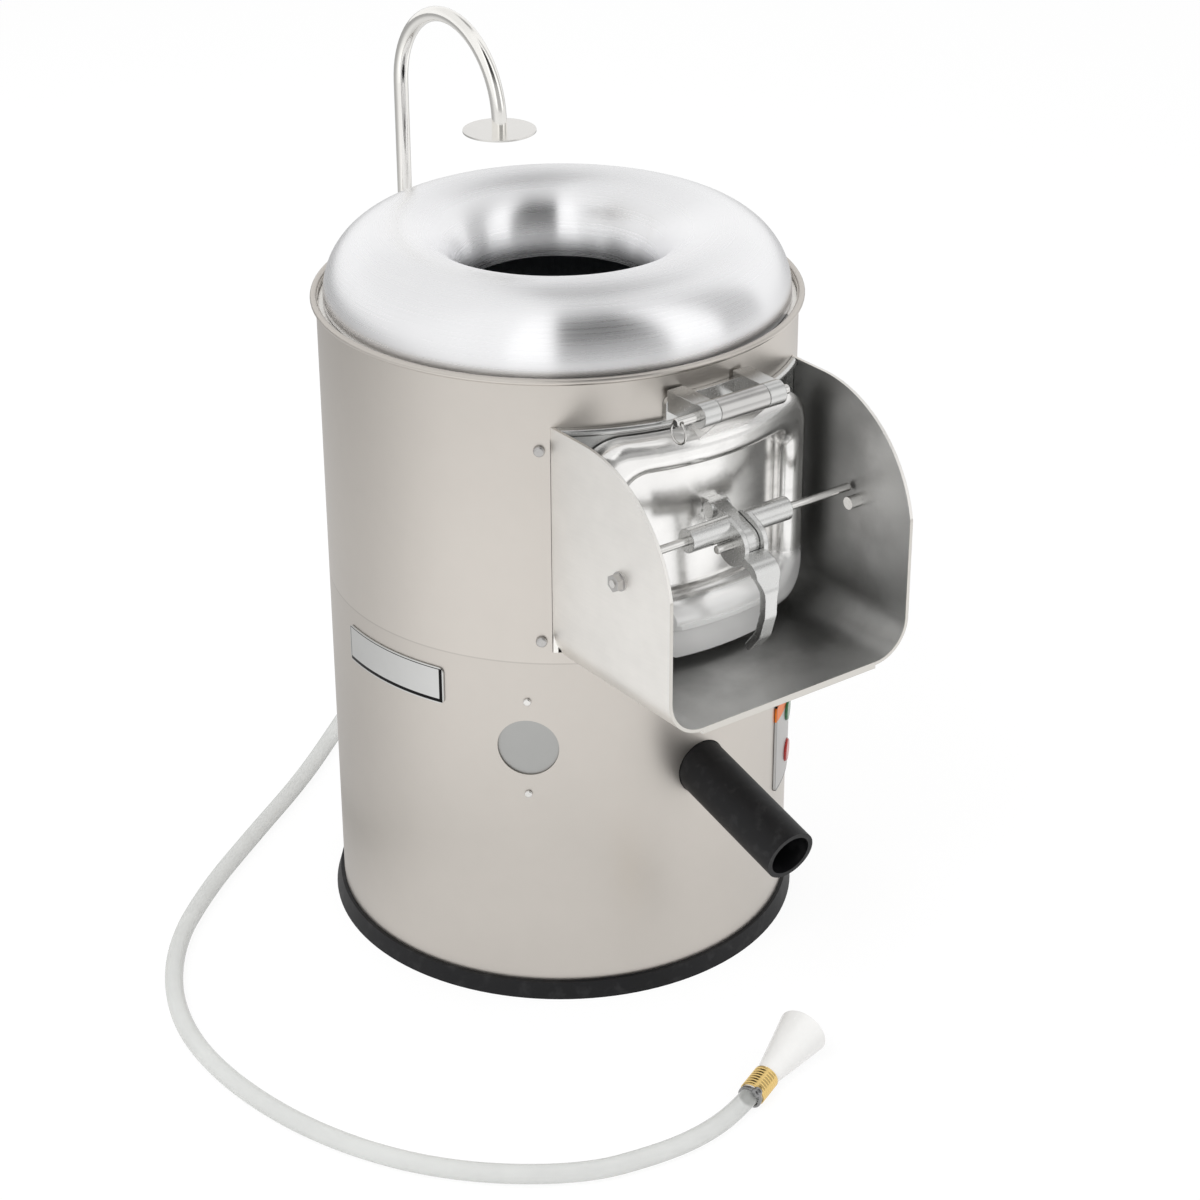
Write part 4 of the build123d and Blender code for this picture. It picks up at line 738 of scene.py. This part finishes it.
@dataclass
class HoseEnd:
    """Ridged brass ferrule and steel band with its screw, on the neck of the faucet adapter."""

    neck: Point = (-75.9, -377.7, 11.4)
    mouth: Point = (-7.6, -352.2, 21.8)
    inner: float = 10.05
    outer: float = 11.15
    half: float = 12.0
    ridges: int = 7
    groove: float = 0.7
    plain_end: float = 1.5
    band_inner: float = 8.3
    band_outer: float = 10.5
    band_width: float = 3.6
    band_gap: float = 1.2
    screw_radius: float = 4.2
    screw_height: float = 4.6
    screw_sink: float = 1.5
    screw_way: Point = (-0.35, -0.75, 0.60)

    def run(self) -> Vector:
        """Direction from the neck to the mouth."""
        return (Vector(self.mouth) - Vector(self.neck)).normalized()

    def turned_piece(self, name: str, origin: Vector, axis: Vector,
                     profile: Sequence[tuple[float, float]], steps: int = 48) -> bpy.types.Object:
        """Closed solid of revolution about any axis.

        Args:
            name: the piece's name.
            origin: the axis's zero point in millimetres.
            axis: unit direction of the axis.
            profile: (radius, distance along the axis) corners in millimetres.
            steps: facets round the axis.

        Returns:
            The piece.
        """
        aside = axis.orthogonal().normalized()
        bench = Bench(name)
        loop = [*profile, profile[0]]
        with bench:
            bench.draw([tuple((origin + axis * along + aside * radius) * MM)
                        for radius, along in loop])
            bench.spin(steps, tuple(origin * MM), tuple(axis))
        soften(bench.obj, 40.0)
        return bench.obj

    def build(self, finishes: Finishes) -> list[bpy.types.Object]:
        """Makes the ferrule, the band and its screw.

        Returns:
            The pieces on the hose.
        """
        axis = self.run()
        neck = Vector(self.neck)
        profile = [(self.inner, self.half), (self.inner, -self.half),
                   (self.outer - 0.3, -self.half), (self.outer, -self.half + 0.4)]
        pitch = 2 * (self.half - self.plain_end) / self.ridges
        bottom = self.outer - self.groove
        for ridge in range(self.ridges):
            start = -self.half + self.plain_end + ridge * pitch
            profile += [(self.outer, start + 0.1 * pitch), (bottom, start + 0.3 * pitch),
                        (bottom, start + 0.5 * pitch), (self.outer, start + 0.7 * pitch)]
        profile += [(self.outer, self.half - 0.4), (self.outer - 0.3, self.half)]
        ferrule = self.turned_piece("brass_ferrule", neck, axis, profile, 64)
        finish_piece(ferrule, "housing", "brass", finishes["brass"], "adapter_clamp")
        start = -self.half - self.band_width - self.band_gap
        end = start + self.band_width
        band = self.turned_piece("neck_band", neck, axis, [
            (self.band_inner, start), (self.band_outer - 0.4, start),
            (self.band_outer, start + 0.5), (self.band_outer, end - 0.5),
            (self.band_outer - 0.4, end), (self.band_inner, end)])
        finish_piece(band, "housing", "bright_steel", finishes["dark_steel"])
        middle = neck + axis * ((start + end) / 2)
        way = Vector(self.screw_way)
        way = (way - axis * way.dot(axis)).normalized()
        low = self.band_outer - self.screw_sink
        radius = self.screw_radius
        high = low + self.screw_height
        centre = 0.001
        head = self.turned_piece("band_screw", middle, way, [
            (centre, low), (radius, low), (radius, high - 1.6), (radius * 0.85, high - 0.6),
            (radius * 0.5, high - 0.1), (radius * 0.42, high), (radius * 0.38, high - 0.9),
            (centre, high - 1.0)], 32)
        finish_piece(head, "housing", "bright_steel", finishes["dark_steel"])
        return [ferrule, band, head]


@dataclass
class WaterLine:
    """Clear hose on the floor, running to the pieces at its far end."""

    radius: float = 8.0
    route: tuple[Point, ...] = (
        (-1.0, 215.0, 43.6), (68.0, 215.0, 40.0), (148.7, 232.5, 24.0), (189.6, 314.9, 9.5),
        (149.9, 397.9, 8.2), (60.0, 417.7, 8.2), (-30.0, 343.5, 8.2), (-115.0, 275.0, 8.2),
        (-204.0, 216.0, 8.2), (-290.0, 157.0, 8.2), (-362.0, 92.0, 8.2), (-411.0, 2.0, 8.2),
        (-423.0, -98.0, 8.2), (-401.0, -212.0, 8.2), (-347.0, -310.0, 8.2), (-262.0, -380.0, 8.2),
        (-192.0, -397.0, 8.2), (-143.0, -398.0, 8.2), (-98.4, -386.1, 8.2), (-66.5, -374.2, 12.8),
    )

    def build(self, finishes: Finishes, fittings: Iterable[bpy.types.Object]) -> None:
        """Args:
            finishes: the machine's materials.
            fittings: modelled pieces at the hose's far end; not used.
        """
        curve = bpy.data.curves.new("water_line", "CURVE")
        curve.dimensions = "3D"
        curve.resolution_u = 16
        curve.bevel_depth = self.radius * MM
        curve.bevel_resolution = 5
        curve.use_fill_caps = True
        spline = curve.splines.new("NURBS")
        spline.points.add(len(self.route) - 1)
        for point, place in zip(spline.points, self.route):
            point.co = (*(c * MM for c in place), 1.0)
        spline.order_u = 3
        spline.use_endpoint_u = True
        hose = bpy.data.objects.new("water_line", curve)
        bpy.context.collection.objects.link(hose)
        hose.data.materials.append(finishes["clear_pvc"])
        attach(hose, "housing")
        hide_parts("water_hose")
        log.info("hose laid")


# ------------------------------------------------------------------ studio
@dataclass
class Studio:
    """Camera, floor, world and lamps."""

    camera_place: Point = (-1.3250, -1.8399, 1.4490)
    target: Point = (0.0, 0.0, 0.2887)
    roll: float = -0.611
    lens: float = 86.127
    shift: tuple[float, float] = (0.03288, -0.00606)
    floor_white: float = 1.03
    air_light: float = 0.72
    gap_turn: float = -8.0
    roof_turn: float = 133.0
    grey_turn: float = 64.0
    bright_turns: tuple[float, float] = (34.0, -49.0)

    def build(self) -> None:
        """Makes the whole studio."""
        self.make_camera()
        self.make_floor()
        self.make_world()
        self.make_lamps()
        bpy.context.scene.view_settings.view_transform = "Standard"
        log.info("studio ready")

    def make_camera(self) -> None:
        """Places the camera."""
        data = bpy.data.cameras.new("camera")
        data.sensor_width = 36.0
        data.lens = self.lens
        data.shift_x, data.shift_y = self.shift
        data.clip_end = 50.0
        camera = bpy.data.objects.new("camera", data)
        bpy.context.collection.objects.link(camera)
        camera.location = self.camera_place
        look = Vector(self.target) - Vector(self.camera_place)
        aim = look.to_track_quat("-Z", "Y")
        camera.rotation_mode = "QUATERNION"
        camera.rotation_quaternion = aim @ Quaternion((0, 0, 1), math.radians(self.roll))
        bpy.context.scene.camera = camera

    def make_floor(self) -> None:
        """Lays a wide pale floor, evenly white to the camera, whose glow in reflections carries
        painted light and shade.
        """
        bpy.ops.object.select_all(action="DESELECT")
        bpy.ops.mesh.primitive_plane_add(size=30.0, location=(0, 0, -0.0002))
        floor = bpy.context.object
        floor.name = "studio_floor"
        material, shader = new_material("studio_floor")
        seen = shader.node("LightPath", out="Is Camera Ray")
        glossy = shader.node("LightPath", out="Is Glossy Ray")
        through = shader.node("LightPath", out="Is Transmission Ray")
        diffuse = shader.node("BsdfDiffuse", {}, {"Color": (0.92, 0.92, 0.92)})
        here = shader.place()
        x = shader.axis(here, "X")
        y = shader.axis(here, "Y")
        reach = (x * x + y * y).root()
        behind = (y / reach.at_least(0.01)).step(-0.2, 0.9)
        # painted light and shade seen in reflections: the floor glows brighter in front of the
        # machine, and darker behind it, far off and close round it
        reflected_glow = 1.25 - behind * 0.60 - reach.step(0.7, 2.4) * 0.4
        reflected_glow = reflected_glow * (0.76 + reach.step(0.25, 0.95) * 0.24)
        strength = self.floor_white + glossy * (reflected_glow - self.floor_white)
        glow = shader.node("Emission", {}, {"Color": (1.0, 1.0, 1.0), "Strength": strength})
        factor = seen * 0.86 + glossy * 0.7 + through * 0.8
        factor = factor.maths("MINIMUM", factor, 1.0)
        mixed = shader.node("MixShader", {}, {0: factor, 1: diffuse, 2: glow})
        shader.node("OutputMaterial", {}, {"Surface": mixed})
        floor.data.materials.append(material)

    def make_world(self) -> None:
        """White surroundings, with darker and brighter sides that show in metal alone."""
        world = bpy.data.worlds.new("studio")
        bpy.context.scene.world = world
        world.use_nodes = True
        shader = Shader(world.node_tree)
        way = shader.node("TexCoord", out="Generated")
        x = shader.axis(way, "X")
        y = shader.axis(way, "Y")
        z = shader.axis(way, "Z")
        turn = x.maths("ARCTAN2", x, y * -1.0) * (180 / math.pi)
        low_down = 1.0 - z.step(0.90, 0.997)
        dark = turn.hump(self.gap_turn, 25.0, 7.0) * low_down * (0.55 + z.step(0.35, 0.70) * 0.45)
        roof = turn.hump(self.roof_turn, 14.0, 14.0) * z.step(0.62, 0.84)
        dark = dark + roof * low_down * 0.55
        grey = turn.hump(self.grey_turn, 10.0, 8.0) * low_down
        right, left = self.bright_turns
        bright = (turn.hump(right, 12.0, 6.0) + turn.hump(left, 9.0, 5.0)) * low_down
        rear = turn.size().step(95.0, 125.0) * z.step(0.25, 0.6)
        level = 0.95 - dark * 0.91 - grey * 0.40 + bright * 0.2 - rear * 0.09
        glossy = shader.node("LightPath", out="Is Glossy Ray")
        camera = shader.node("LightPath", out="Is Camera Ray")
        plain = self.air_light + glossy * (level - self.air_light)
        strength = plain + camera * (1.0 - plain)
        background = shader.node("Background", {}, {"Color": (1.0, 1.0, 1.0), "Strength": strength})
        shader.node("OutputWorld", {}, {"Surface": background})

    def make_lamps(self) -> None:
        """Hangs three soft boxes that light the scene but aren't mirrored in metal."""
        self.lamp("key_box", (-1.6, -0.6, 2.2), (1.4, 1.4), 26.0)
        self.lamp("fill_box", (1.9, -1.2, 1.5), (0.8, 1.6), 12.0)
        self.lamp("back_box", (0.4, 2.2, 1.9), (1.6, 1.0), 10.0)

    def lamp(self, name: str, place: Point, size: tuple[float, float], watts: float) -> None:
        """Adds one rectangular soft box aimed at the machine's middle."""
        data = bpy.data.lights.new(name, "AREA")
        data.shape = "RECTANGLE"
        data.size, data.size_y = size
        data.energy = watts
        lamp = bpy.data.objects.new(name, data)
        bpy.context.collection.objects.link(lamp)
        lamp.visible_glossy = False
        lamp.location = place
        lamp.rotation_mode = "QUATERNION"
        lamp.rotation_quaternion = (Vector((0, 0, 0.35)) - Vector(place)).to_track_quat("-Z", "Y")


def main() -> None:
    """Builds the studio, then every sub-assembly in order."""
    logging.basicConfig(level=logging.INFO, format="%(name)s: %(message)s")
    finishes = Finishes()
    finishes.dress_nodes()
    Studio().build()
    WaterLine().build(finishes, HoseEnd().build(finishes))
    Cover().build(finishes)
    Lining().build(finishes)


if __name__ == "__main__":
    main()
